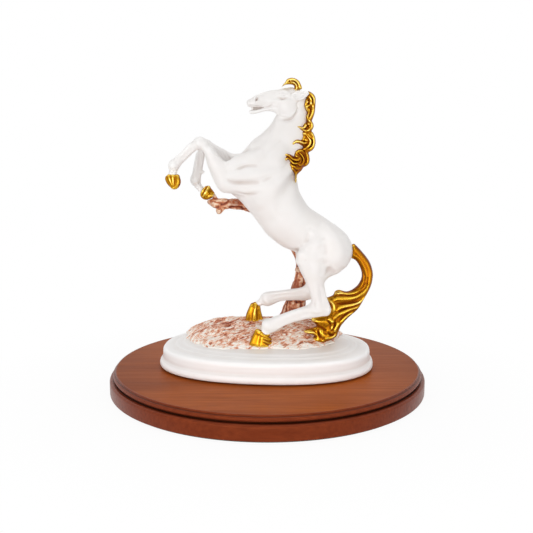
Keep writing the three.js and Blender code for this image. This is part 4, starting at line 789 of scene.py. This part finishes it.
model(horse, -1, -23, """
1.5 -0.9 1.2: -3.6 40, -0.6 38.4, 2.6 38.2
""")

# far hind leg
model(horse, -1, 20, """
1.5 -1 1.3: 36 66.4, 27 64.8, 17 64.4, 7 62.8, 0 60.4;
1.8 0.6 1.4: 36 70, 25 67.6, 12 66, 0 63.6;
1.3 -0.8 1.2: 33 61.4, 22 60.6, 12 60, 4 57.6;
2.2 0.8 1.6: 40 73, 42 66, 47 62
""")
horse.ball([-0.6, 20, 59.4], [5.8, 5.7, 5.9], 2, 25)
model(horse, -1, 20, """
1.4 -0.8 1.2: -5.6 61, -4.6 57.4, -1.6 54.6
""")

near_skin, skin_places = horse.skin()
unevenness = 0.32 * bumps(skin_places, 12, 15) + 0.16 * bumps(skin_places, 6, 16)
horse.field[near_skin] += unevenness.astype(np.float32)
horse.rub()


def horse_painted_shade(x, y, z):
    """Painted shade along the throat, under the buttock and on the forearm, and on the far forearm's near
    face, which lies in the near leg's shadow.
    """
    body = shade_near_strokes(x, z, """
    5 0.15: -21.2 201, -17 208.5, -10.4 214.2, -3.7 218.3, 1.2 222.4;
    4.5 0.22: 56.3 91.7, 62.4 94, 69.3 97.2;
    3 0.08: -30 170, -36 178, -38 186
    """)
    return np.maximum(body, (y > 4) * shade_near_strokes(x, z, "6 0.1: -50 206, -42 199, -34 194"))


clay_piece("horse_skin", horse, enamel, [
    "torso_casting", "neck_casting", "near_foreleg", "far_foreleg", "near_hind_leg", "far_hind_leg",
], 2.2, 0.42, horse_painted_shade)

# Head: its own casting, with the mouth open, nostrils flared and the ears laid back against the mane.
# It is pinned and filled to the neck behind the jowl, and sprayed with the same white as the body.

head = Clay([-21, -13, 226], [45, 13, 268], 0.45, reach=2.5)
head.form(table("""
1 220 32 217 0 7.4, 6 228.2 34.4 228 0 7.1, 8.4 235.5 36 238 0 6.8, 13 241 36.8 247 0 6.2,
19 247 35.2 253.6 0 5.4
"""), 1, taper=0.28)
head.form(table("""
-18.4 248.2 -18.2 245.2 0 2.5, -16.8 250.2 -16.9 243.8 0 4.7, -13 252.7 -12.8 242.9 0 5.7,
-8.5 255 -7.5 242.5 0 5.4, -3 257 -2 241.8 0 4.8, 3 258.4 4.5 240.5 0 5.6, 9 259.3 11 238 0 7.2,
16 260.6 18 236.5 0 8.4, 22.5 261.3 24.5 238.5 0 8.2, 29 259.5 28.5 244 0 7.2, 31.8 256.5 30.5 250 0 4.5
"""), 2.4)
head.form(table("""
-16.8 240.3 -17 238.6 0 2.4, -14.6 241 -14.8 237.2 0 4, -11 241.6 -10.8 237.5 0 4.4,
-6.6 242.4 -6.5 238.7 0 4.5, -1 244 -0.5 239.8 0 4.7, 6 246 6 238.9 0 5.6, 12 247 10.8 235.6 0 6.3
"""), 0.6)
head.ball([-16.2, 0, 247.2], [2.8, 4.6, 3.2], 1.2)
for side in (-1, 1):
    head.ball([19, side * 4, 243.6], [9.4, 5.2, 9.6], 1.6)
    # cheek ridges and brow
    model(head, side, 0, """
1.6 0.8 1.5: 8 249.4, 14 248.2, 20 248.6, 26 250.4;
1.6 0.5 1.5: -7 248.8, -1 248.4, 6 248.9, 11 249.4;
1.5 0.9 1.2: 8 256, 12 257.3, 17 257.1, 21 255.2;
1.5 -0.9 1: 8.6 252.3, 13 251.2, 18 251.8
    """)
    head.ball([14, side * 6.3, 254], [2.7, 2.1, 1.8], 0.5, tilt=-8)
    # eyelids, the gap between them and the fold below
    model(head, side, side * 3, """
0.7 0.6 0.5: 10.4 253.7, 12.6 255.6, 15.6 255.7, 18 253.7;
0.6 0.4 0.5: 11 253.1, 13.2 252.2, 15.8 252.3, 17.8 253.4;
0.6 -1.1 0.3: 10.6 253.5, 13.8 254.5, 17.8 253.6;
1 -0.7 0.8: 9.8 252.6, 13.8 250.8, 18.4 252.4
    """)
    # temple and nostril wings
    model(head, side, 0, """
2 -0.9 1.2: 20 256.6, 23 256, 26 254.8;
1.1 0.8 0.8: -12 248, -11.4 251.4, -9.4 253.4, -7 252.6;
0.9 0.5 0.6: -11.6 247.6, -9.2 247.8, -7.4 249.6
    """)
    head.rope([
        [-10.2, side * 5, 248.9, 0.7], [-9.8, side * 4.6, 250, 1.1], [-9.2, side * 4.4, 251.4, 1.1],
        [-8.7, side * 4.4, 252.4, 0.7], [-9.4, side * 6.4, 250.8, 0.8],
    ], 0.2, TAKE)
    # lips and throat
    model(head, side, 0, """
0.8 -0.6 0.6: -15.4 245.2, -12 244.4, -8.6 243.8, -5.4 244.2, -3 245.6;
1 0.5 0.8: -15.4 246.8, -11.4 246.2, -7.6 246;
0.9 -0.6 0.8: -3 242.4, 0.6 243.4, 4 245.6;
2.4 -0.8 2: 29.4 247.4, 28.8 243, 26.8 239
    """)
    head.ball([18.2, side * 4.7, 242.8], [8.6, 4.9, 8.2], 1)
    # the jowl's edge
    model(head, side, 0, """
1.9 1 1.4: 8.4 240, 11.6 236.8, 16 235.6, 20.8 236, 24.8 239.4, 26.6 243;
1.5 -1.5 0.8: 8.4 237.4, 11.6 234, 16.2 232.7, 21.4 233, 25.6 236.4, 28 240.6
    """)
head.ball([-8.8, 0, 241.8], [6, 2.4, 3.2], 0.3, -6)
for side, lift in ((-1, 0), (1, 0.6)):
    head.ball([24.6, side * 6.6, 252.2 + lift], [3.8, 2.6, 4], 1.4)
    head.ball([28.4, side * 7.9, 253.4 + lift], [7.4, 2.7, 4.5], 0.6, 8)
    head.ball([33.6, side * 8.1, 255 + lift], [4.4, 1.9, 2.6], 1, 14)
    head.ball([29.4, side * 10.4, 253.9 + lift], [6.6, 2.2, 3], 0.3, 10, TAKE)
head.rub()
# painted shade: the inside of the mouth is painted dark
clay_piece("horse_head", head, enamel, ["head_casting", "near_ear", "far_ear"], 1.2, 0.6,
           lambda x, y, z: 0.5 * ((np.abs(y) < 3.4) & (x > -13) & (x < -3) & (z > 240.9) & (z < 243.6)))

# Hooves: four small castings with a grooved wall and a fringe of hair over the coronet, pinned under the
# fetlocks and gilded. The gilt's colour is painted light: dark shade and reflection in its grooves,
# highlights on its ridges.

gilt = Finish("gilding_with_painted_light")
gilt_specks = gilt.noise(700, detail=4, rough=0.65)
gilt_clouds = gilt.noise(90, detail=3)
gilt_relief_light = gilt.reckon("MULTIPLY_ADD", gilt_specks, 0.06, gilt.relief())
# painted light: dark brown painted shade and reflection in the grooves, painted highlights up to pale gold on
# the ridges
gold_painted_light = gilt.steps(
    gilt_relief_light, (0.16, 88, 34, 7), (0.33, 126, 58, 8), (0.46, 153, 91, 11), (0.58, 177, 121, 18),
    (0.68, 226, 182, 58), (0.8, 255, 228, 130),
)
gilt.coat(
    Base_Color=gilt.blend(gilt.spread(gilt_clouds, 0.45, 0.7, 0.0, 0.25), gold_painted_light, colour(160, 94, 14)),
    Metallic=gilt.spread(gilt_relief_light, 0.3, 0.6, 0.3, 0.9), Normal=gilt.grain(gilt_specks, 0.008),
    Roughness=gilt.spread(gilt_specks, 0.3, 0.7, 0.16, 0.26), Specular_Tint=colour(150, 86, 26),
)


def hoof(name, sections, marks):
    """One hoof over sections from the coronet to the sole, with the folds and grooves of its wall."""
    rows = table(sections)
    xs, zs = rows[:, [0, 2]], rows[:, [1, 3]]
    clay = Clay([xs.min() - 5, (rows[:, 4] - rows[:, 5]).min() - 3, zs.min() - 4],
                [xs.max() + 5, (rows[:, 4] + rows[:, 5]).max() + 3, zs.max() + 5], 0.35)
    clay.form(rows, 0.5, steps=5, around=40)
    for side in (-1, 1):
        model(clay, side, rows[:, 4].mean(), marks)
    clay_piece(name, clay, gilt, [name.replace("gilt", "hoof")], 1.2, 0.7)


hoof("near_fore_gilt", """
-90.4 182.5 -81.8 182.7 -15 4.9, -92.6 181.2 -80.1 181.1 -15 5.8, -93.2 178.4 -79 177.4 -15 6.4,
-91.2 174 -79.3 174.2 -15 6.4, -88.1 170.9 -81 171.2 -15 5.6, -86 169.6 -83.6 169.5 -15 4
""", """
1.6 0.35 1.2: -89.6 181.6, -87.7 176.9, -86 171.6;
1.4 0.28 1.2: -85.9 181.6, -85.5 177, -85.1 171.6;
1.6 0.315 1.2: -81.9 181, -81.5 176.3, -83 171.6;
0.8 -0.3 0.8: -91.2 181, -89.4 176.3, -86.8 171.4;
0.6 -0.35 0.8: -87.4 181.8, -86.5 176.9, -85.6 171.6;
0.7 -0.5 0.8: -83.9 181, -83.8 176.3, -84.3 171.8
""")
hoof("far_fore_gilt", """
-63.6 163.4 -59 169.9 14.5 5, -63.4 160.6 -55.6 170.4 14.5 6.2, -61 157.8 -53 167.6 14.5 6.8,
-57.2 157 -51.2 165.2 14.5 6.6, -52.4 158.8 -50 163.4 14.5 5.4
""", """
1.1 0.56 1.2: -54.6 170, -57.3 165.8, -60.4 161;
0.9 -0.8 0.8: -57.4 170, -60 165.5, -62 161.8;
0.6 -0.35 0.8: -52.2 167, -54.4 163.6, -57 160
""")
hoof("near_hind_gilt", """
-9 38.6 1.2 34.2 -23.5 5, -11.4 35.8 2.4 31.4 -23.6 6.2, -13.6 32.4 2.8 28.6 -23.7 6.6,
-16.2 27.8 3.8 25.8 -23.8 7, -16.6 25.4 4.8 23.4 -23.8 6.9
""", """
2.8 0.385 1.2: -9 37, -11.6 31.6, -13.8 26;
1.3 0.42 1.2: -8.6 38.2, -4 36.6, 1 34.2;
1.3 0.35 1.2: -3.6 33.8, 0 31.8, 2.6 29.8;
1.3 0.35 1.2: -3.2 30.4, 0.6 28.2, 3.4 26.4;
0.8 -0.45 0.8: -6 35.6, -7 31, -7.6 25;
0.7 -0.65 0.8: -5 35.2, -1.6 33.6, 1.8 31.8;
0.7 -0.5 0.8: -3.4 32, 0 30, 3 28;
0.7 -0.45 0.8: -2.6 28.6, 0.8 26.6, 4 24.6
""")
hoof("far_hind_gilt", """
-13.6 56 -7.6 53 20 3.6, -16.6 53.4 -6.8 50.4 20 5.6, -19 48.6 -6.2 46.4 20 6.6, -20.8 43.6 -5 42.2 20 6.9,
-21.8 38.4 -3.6 38.4 20 7
""", """
1.9 0.245 1.2: -14.6 53, -17 47, -19 40;
2 0.35 1.2: -11.4 54, -12.2 47, -12.6 39;
1.6 0.245 1.2: -8.4 51.4, -7.6 46, -6 40;
0.9 -0.4 0.8: -12.8 53.4, -14.6 46.6, -15.6 39;
0.9 -0.5 0.8: -9.6 53, -9.8 46.4, -9 39.4
""")

# Forelock and mane: castings of twisted locks that curl forward over both sides of the neck. They are set
# on the crest with adhesive and gilded like the hooves.


def ground_under(clays, x, z, side):
    """How far one side of the clays stands out from the middle plane under points, smoothed a little."""
    level = np.zeros(np.broadcast(x, z).shape)
    for clay in clays:
        i = np.clip((x / clay.cell - clay.first[0]).round().astype(int), 0, clay.field.shape[0] - 1)
        k = np.clip((z / clay.cell - clay.first[2]).round().astype(int), 0, clay.field.shape[2] - 1)
        inside = (clay.field < 0)[i, :, k][..., ::-side]
        last = inside.shape[-1] - 1 - inside.argmax(-1) if side > 0 else inside.argmax(-1)
        level = np.maximum(level, np.where(inside.any(-1), side * (last + clay.first[1]) * clay.cell, 0))
    for axis in (0, 1):
        for _ in range(6):
            level = (np.roll(level, 1, axis) + level + np.roll(level, -1, axis)) / 3
    return level


def carved_hair(clay, outline, heart, ground, thick, edge, strands):
    """A mass of hair inside an [x, z] outline, rounded to its edge, on both sides of the ground. Its
    strands are strokes of width and height; those below zero are cut in."""
    x, y, z = clay.axes()
    x, y, z = x[:, None], y[:, None], z[None, :]
    rim = smooth_path(np.vstack([table(outline), table(outline)[:1]]), 3)
    gap, _ = from_line(x, z, rim)
    inside = np.zeros(gap.shape, bool)
    for a, b in zip(rim[:-1], rim[1:]):
        if a[1] != b[1]:
            crosses = (a[1] > z) != (b[1] > z)
            inside ^= crosses & (x < a[0] + (z - a[1]) / (b[1] - a[1]) * (b[0] - a[0]))
    body = np.where(inside, np.sqrt(1 - (1 - np.clip(gap / edge, 0, 1)) ** 2), 0)
    lift = thick(x, z) * body
    for width, height, line in strokes(strands):
        near, along = from_line(x, z, smooth_path(line, 4))
        near = np.minimum(near / width, 1)
        section = 1 - near ** 2 if height > 0 else (1 - near) ** 1.5
        lift += height * section * np.sin(math.pi * along) ** 0.4 * body
    faces = []
    for side in (-1, 1):
        base = ground(x, z, side) + 0 * gap
        level = base + np.maximum(lift, 0.3 * body)
        steep = np.sqrt(1 + sum(g ** 2 for g in np.gradient(level, clay.cell)))
        away = side * (y - (heart(x, z) + 0 * gap)[:, None, :])
        within = (away - level[:, None, :]) / np.minimum(steep, 4)[:, None, :]
        outside = np.sqrt(gap[:, None, :] ** 2 + np.maximum(away - base[:, None, :], 0) ** 2)
        faces.append(np.where(inside[:, None, :], within, outside))
    clay.press((slice(None),) * 3, np.maximum(*faces).astype(np.float32), 0.4)


forelock = Clay([9, -10, 249], [37, 8, 270], 0.35)
carved_hair(forelock, """
13.1 261.6, 14.6 263.8, 16.5 265.9, 17.7 268.2, 20.7 269.5, 24.4 269.4, 27.2 268.2, 29.2 266.4, 30.6 263.7,
31.7 260.2, 30 259, 27.8 258.5, 25.8 257.2, 23.8 257.4, 23.6 259, 24.7 260.4, 24.6 261.8, 23.4 263.2,
20.7 263.8, 18.4 263.6, 16.4 263.4, 14.6 262.4
""", lambda x, z: -2.2, lambda x, z, side: 0, lambda x, z: 3.1, 2.6, """
1.4 1.3: 13.9 261.8, 16.4 264.8, 19 267.1, 22.9 268.2, 26.6 266.8, 28.9 263.5, 29.6 260;
1.2 1.2: 19 264.9, 21.8 266.4, 25 264.9, 26.9 262.2, 26.4 258.4;
1 -1.3: 17.4 265.4, 20.7 266.6, 24.4 266, 26.9 263.8, 27.6 260.2;
0.9 -1: 18.8 268, 20.4 265.8, 20.6 264.4
""")
clay_piece("forelock_curls", forelock, gilt, ["forelock"], 0.9, 0.7)

mane = Clay([12, -19, 169], [49, 19, 260], 0.4)
carved_hair(mane, """
37.4 257.9, 40.5 256.5, 43.1 254.1, 44.3 250.7, 44.1 246.2, 43.9 241.2, 43.1 236.8, 41.8 233.3, 41.1 230.8,
42.2 228.8, 42.7 226.1, 41.9 223.8, 40.8 221.8, 42.5 219.8, 44.2 215.3, 44.5 210.2, 43.2 206.2, 41 203.8,
38.3 202.2, 38.8 200, 39.3 196, 38.9 192.6, 36.5 189.8, 33.6 188.6, 31.9 186.2, 29 183.5, 27.3 181.7,
27.1 178.8, 26.7 175, 26 175, 26.1 178.8, 25.2 182.1, 23.8 184.6, 22.3 186.8, 21.5 189.8, 20.4 191.5,
20.9 193.8, 19.2 196, 16.9 195.1, 16.1 197.2, 17.7 198.6, 16.3 200, 16.9 201.7, 19.7 201.2, 22.6 200,
24.6 199.2, 25.5 202.8, 27.2 204.6, 30 205.7, 32.3 206.1, 33.5 207.3, 31.7 208.6, 28.9 210.2, 26 210.6,
23.6 209.3, 23.1 210.8, 24.8 213.1, 27.7 214.2, 31.1 213.7, 32.3 215.3, 32.8 217.6, 32.2 220.5, 33.4 221.2,
31.1 222.7, 29.3 224.6, 26.9 225.8, 29.3 226.3, 32.2 225.8, 33.3 227.8, 35 229.5, 36.2 230.6, 35.6 232.8,
35.5 235.6, 36.7 238.3, 34.9 241.2, 33.8 244.6, 34.2 247.8, 34.8 249.8, 35.8 251.6, 36 253.5, 36.3 255.7
""", lambda x, z: 0, lambda x, z, side: 0.2 + ground_under([horse, head], x, z, side),
            lambda x, z: 2.6 + np.clip((x - 30) / 8, 0, 1) * 2.2, 3, """
1.6 1.5: 37.1 256.2, 40.2 255.2, 42.5 251.8, 43.2 247.3, 42.3 242.8;
1.5 1.4: 37.4 253.5, 39.4 251.8, 40.2 248.5, 38.9 245.5, 36.6 244, 35.7 241.8, 37.2 239.2;
1.5 1.5: 35.4 247.3, 37.5 248.3, 40.9 245.5, 42.3 241.2, 41.2 236.8, 39.2 233.2, 38.1 230;
1.4 1.4: 37.2 237.8, 36.7 234.5, 37.6 231.3, 40.7 229.5, 41.3 226.1, 39.1 223.5, 35.6 223;
1.4 1.5: 27.4 225.8, 31.1 224.6, 33.9 225.5, 36.2 227.8, 39 228.5;
1.2 1.1: 32.2 223, 35.7 221.7, 39.1 222.6;
1.6 1.5: 40.2 221, 42.8 218.2, 43.5 213.1, 42.4 208, 38.8 204.2;
1.5 1.6: 34 220.1, 36.8 218.2, 39.4 214.2, 39 209.7, 36 206.7, 33.7 204.6;
1.5 1.6: 23.6 210.2, 26.6 212.3, 30.6 212.3, 33.7 210.8, 35.7 212, 35.5 215.3;
1.5 1.3: 34.6 207.3, 32.3 204.8, 28.9 204, 26.4 201.7;
1.6 1.5: 32.3 204.2, 36.4 200.6, 37.9 196, 36.5 191.7, 33 190.1;
1.3 1.3: 28.9 202.2, 33 198.2, 34.1 194.2, 31.9 191.2, 28.8 190.6;
1.4 1.5: 16.5 201.1, 20 199.7, 22.6 197.2, 25.5 196, 29 196, 31 198.2;
1.3 1.3: 16.5 196.7, 19.5 197, 22.1 194.7, 24.6 192.6, 27.8 193.2;
1.2 1.1: 25.5 201.2, 26.9 198.8, 30.1 197.2;
1.4 1.3: 21.5 190.8, 24.4 190.1, 26.9 188, 30.2 188, 32.5 189.2;
1.3 1.2: 23 188, 25.1 185.8, 26.5 182.8, 26.8 180.6;
1.2 1: 29 186.8, 27.7 184.6, 27 182.2;
0.9 -1.9: 38.8 253.5, 41.1 250.7, 41.4 246.8;
0.8 -1.6: 37.1 250.7, 37.9 247.3, 37.2 245.8;
0.9 -1.8: 37.8 244, 39.5 241.2, 38.9 237.2, 37.8 234;
0.9 -2: 35.6 230, 37.3 226.3, 37.7 225;
0.8 -1.6: 30.5 223.8, 34.5 223.8, 37.3 224.3;
0.9 -2: 35.7 219.8, 38.2 216.7, 41.2 213.1, 40.8 209.1, 37.5 205.7;
0.8 -1.7: 32.9 213.7, 34 212.5, 37.4 212;
0.8 -1.6: 28.9 211.3, 32.3 209.1, 34.6 208.6, 36.9 210.2;
0.8 -1.8: 32.3 205.7, 34.7 202.8, 35.8 198.8;
0.8 -1.9: 27.2 202.8, 30.7 199.7, 32.4 196, 31.3 192.6;
0.8 -1.8: 18 200.2, 20.9 197.2, 24.4 194.2, 29 194.2, 30.1 195.5;
0.8 -1.7: 20.3 194.7, 23.2 191.7, 27.3 191.2, 30.2 189.5;
0.7 -1.4: 23.8 199.2, 25.5 197.8, 28.9 198.2;
0.8 -1.4: 23.8 189, 26.1 186.2, 29 185.8
""")
mane.rub()
# the mane's locks are painted darker towards the withers
clay_piece("mane_locks", mane, gilt, [
    "mane_poll_locks", "mane_upper_locks", "mane_middle_locks", "mane_lower_locks", "mane_withers_locks",
], 0.9, 0.7, lambda x, y, z: 0.11 * np.clip((209 - z) / 8, 0, 1))

# Tail: one gilt casting, pinned into the dock. A smooth band of hair swings out and down, then opens into
# a fan of soft folds that lies on the rock and ends in loose curls behind the near hock.

tail = Clay([26, -25, 17], [105, 13, 119], 0.45)
carved_hair(
    tail, """
80 116.5, 81.8 117, 84.4 114.9, 88.9 110.1, 94 104, 97.6 98.1, 99.7 90.9, 99.9 85, 98.5 77.8, 95.8 71.8,
92.4 65.8, 89 59.8, 85.6 54.9, 81.2 51.1, 76.6 47.1, 72.5 42.8, 69.6 38.9, 67.3 33.7, 65.6 29.4, 60.8 26.6,
55.5 24.8, 51.4 22.3, 47.8 23.1, 44.5 25.5, 43 28.4, 44.7 30.3, 42.5 31.9, 38.2 32.5, 34.4 34.8, 38.2 37.2,
42.9 38.4, 46.7 40.4, 44.3 42.8, 41.4 45.5, 43.3 48.3, 47.5 49.4, 54.6 50.1, 58.7 51.9, 58.8 56.2,
57.4 61.6, 54.8 65.3, 59.1 67, 62.7 68.8, 64 71.8, 67.9 73.4, 71.4 72.4, 75.6 71.8, 80.2 73.5, 84.9 77.1,
87.9 81.4, 89.4 86.2, 89 90.9, 86.9 96.3, 83.9 100.8, 80.9 102.8, 78 104, 77.5 111.1
    """,
    lambda x, z: np.interp(z, [20, 36, 50, 64, 84, 112], [-10.6, -9.4, -7, -4.4, -2.4, -0.6])
    - np.clip((66 - x) / 14, 0, 1) * 2,
    lambda x, z, side: 0, lambda x, z: np.interp(z, [20, 45, 60, 90, 115], [4.6, 5.6, 5.4, 5, 4.4]), 4.4, """
2.6 0.8: 80.6 114.6, 84.6 111.9, 89.4 106.6, 93.7 100.8, 97 93.9, 97.7 86.4, 96.3 78.9, 93.3 71.4, 89.4 65;
3.4 0.2: 82 107, 87.4 101.6, 91.4 94.4, 92.8 87.4;
2.6 1.5: 94.6 79.6, 91.4 73.6, 85.9 69.2, 79.6 66.6, 73.3 66, 67.5 66, 61 65.4;
1.8 1.2: 88.4 76.4, 83.5 72.6, 76.5 71, 69.4 71.6, 65.4 70.6;
2.2 1.4: 96 75, 93.3 68.2, 88.1 63.9, 80.8 60.6, 73.4 59, 68.2 57.4, 64.4 54;
2.2 1.3: 86.4 58.4, 82 57.6, 77.7 56.3, 73.5 54.1, 68.2 52, 64.1 48.7, 62 44;
2.2 1.1: 84 54, 77.5 51, 72.5 46.5, 68.6 41.5;
2 1.2: 58.4 64, 61.6 61.4, 63 57.6, 61.4 53.6;
4 1: 44.6 47.6, 49.3 46.3, 54.4 44.9, 57.4 41.7;
2.6 1.5: 50.4 38, 51 34.6, 53.4 31.8, 56.4 31.6, 57.5 33.8;
1.8 1.5: 51.4 26.6, 56.1 29, 61.1 29.8, 64.7 33.2;
1.9 1.4: 63.4 35, 64.3 38, 66.2 41.7, 66.8 44.6;
2.6 1.2: 36 35.4, 40 35.8, 43.7 33.9, 46 30.5, 47.6 26.4;
2 1.3: 57 48.4, 60.2 46, 61.5 43;
1.5 1: 58.7 36.2, 60.8 39.1, 61.5 41.7;
1.5 -1.1: 79 106.4, 84 102.2, 88 96.4, 90.8 90.7, 92 85.4, 91.6 80.4, 88.6 76, 83.5 73.6, 76 73;
1.3 -1.3: 94.4 86, 93.4 78, 88 72.4, 81.7 69, 73.3 69, 66.9 69.4, 63 68;
1.4 -1.5: 94.6 73.6, 90.2 66.8, 83.9 63.2, 75.5 61.8, 68.1 61.2, 64.9 61;
1.2 -1.3: 91.4 63.4, 87.2 60.4, 80.9 58.4, 72.4 56.4, 66.6 53.4;
1.2 -1.2: 82.8 54, 76.4 52.8, 71 49, 67.6 45.4;
1.3 -1.3: 55.6 63.6, 59.4 60.8, 60.2 56.6;
1.5 -1.7: 45.2 44.6, 47.7 41, 51.4 39.6, 53.6 37.6, 56 36.6;
1.4 -1.6: 47.6 38.8, 48.2 34.3, 50.2 29.6;
1.5 -1.8: 57.1 35, 59.4 32.6, 62.2 32.6, 63.6 34.6;
1.1 -1.1: 58.9 41, 60 36.6, 62.6 37.2;
1.2 -1.3: 55.6 47.4, 58.6 44, 60 40.6;
1.2 -1.4: 63.8 47.6, 63.8 42, 62.4 38.4;
1.2 -1.1: 40 38, 44 37, 46 33.6;
1 -0.8: 51.6 28.8, 56.1 27
    """)
tail.rub()


def tail_painted_shade(x, y, z):
    """Painted shade along the tail's edges; the upper band and the curls at its foot are a little darker."""
    band = 0.1 * np.clip((z - 66) / 12, 0, 1) * np.clip((x - 70) / 6, 0, 1)
    return band + 0.04 * np.clip((52 - z) / 6, 0, 1) + shade_near_strokes(x, z, """
    1.5 0.3: 81.9 116.8, 89.4 109.6, 95.8 101, 99.7 91, 100 83.2, 98.4 76.6, 93.4 67, 88.3 58, 79.9 49.8,
    71.6 41.1, 67 31;
    1.2 0.2: 78 103.4, 85.4 99, 89.4 90, 89.6 83.2, 85.4 77, 80.4 73.5, 73.2 72
    """)


clay_piece("tail_locks", tail, gilt, ["tail_casting"], 1.2, 0.5, tail_painted_shade)

# Stage: a plain pale floor and backdrop that look evenly white, three soft boxes and one low strip of
# light, and the camera at the photograph's angle.


def seen_share(finish):
    """1 where the camera looks, straight or by way of a gloss, and 0 for light that only fills the room."""
    rays = finish.node("LightPath").outputs
    straight_or_gloss = finish.reckon("MAXIMUM", rays["Is Camera Ray"], rays["Is Glossy Ray"])
    return finish.reckon("MAXIMUM", straight_or_gloss, rays["Is Transmission Ray"])


pale = Finish("pale_floor")
pale_tone = pale.steps(pale.noise(3, detail=2), (0.3, 240, 240, 240), (0.7, 244, 244, 244))
pale.coat(Base_Color=pale_tone, Roughness=0.9, Specular_IOR_Level=0.1)
from_middle = pale.spread(pale.length(pale.place()), 0.16, 0.3, 0.94, 1.0)
glow_share = pale.reckon("MULTIPLY", seen_share(pale), from_middle)
white_glow = pale.node("Emission", Color=colour(255, 255, 255), Strength=1.0).outputs[0]
with_glow = pale.node("MixShader", None, {0: glow_share, 1: pale.shader.outputs[0], 2: white_glow}).outputs[0]
pale.put(pale.tree.nodes["Material Output"], Surface=with_glow)
floor_mesh = bpy.data.meshes.new("floor")
floor_mesh.from_pydata([(-4, -4, 0), (4, -4, 0), (4, 6, 0), (-4, 6, 0)], [], [(0, 1, 2, 3)])
floor_mesh.materials.append(pale.block)
floor = bpy.data.objects.new("floor", floor_mesh)
bpy.context.scene.collection.objects.link(floor)

studio = Finish("studio", bpy.data.worlds)
bpy.context.scene.world = studio.block
direction = studio.node("TexCoord").outputs["Generated"]
towards_backdrop = studio.node("SeparateXYZ", None, {0: direction}).outputs["Y"]
room = studio.spread(towards_backdrop, -0.3, 0.3, 0.42, 0.75)  # the room behind the camera is dim
studio.put(studio.tree.nodes["Background"], Color=(1, 1, 1, 1),
           Strength=studio.spread(seen_share(studio), 0.0, 1.0, room, 1.0))


def lamp(name, place, aim, size, power, grid_degrees=180):
    """A soft box, wide and high, that faces a point on the statue; a grid can keep its light narrow."""
    light = bpy.data.lights.new(name, "AREA")
    light.energy = power
    light.shape = "RECTANGLE"
    light.size, light.size_y = size
    light.spread = math.radians(grid_degrees)
    made = bpy.data.objects.new(name, light)
    made.location = place
    beam = np.array(aim) - np.array(place)
    made.rotation_euler = (
        math.acos(-beam[2] / np.linalg.norm(beam)), 0, math.atan2(beam[1], beam[0]) - math.pi / 2,
    )
    bpy.context.scene.collection.objects.link(made)


lamp("key", (-0.7, -1.35, 0.4), (0, 0, 0.12), (0.8, 0.8), 7.6)
lamp("fill", (1.0, -1.25, 0.25), (0, 0, 0.1), (0.9, 0.9), 4.4)
lamp("low", (0, -0.54, 0.05), (0, -0.07, 0.04), (0.5, 0.12), 0.08, 64)
lamp("top", (0.1, 0.1, 1.5), (0, 0, 0.1), (0.9, 0.9), 4)

CAMERA_DISTANCE, CAMERA_HEIGHT, AIM_HEIGHT = 0.78844, 0.25308, 0.1176  # metres
camera_data = bpy.data.cameras.new("camera")
camera_data.sensor_width = 36
camera_data.lens = 57.04
camera = bpy.data.objects.new("camera", camera_data)
camera.location = (-0.0007, -CAMERA_DISTANCE, CAMERA_HEIGHT)
camera.rotation_euler = (math.radians(90) - math.atan2(CAMERA_HEIGHT - AIM_HEIGHT, CAMERA_DISTANCE), 0, 0)
bpy.context.scene.collection.objects.link(camera)
bpy.context.scene.camera = camera
bpy.context.scene.view_settings.view_transform = "Standard"
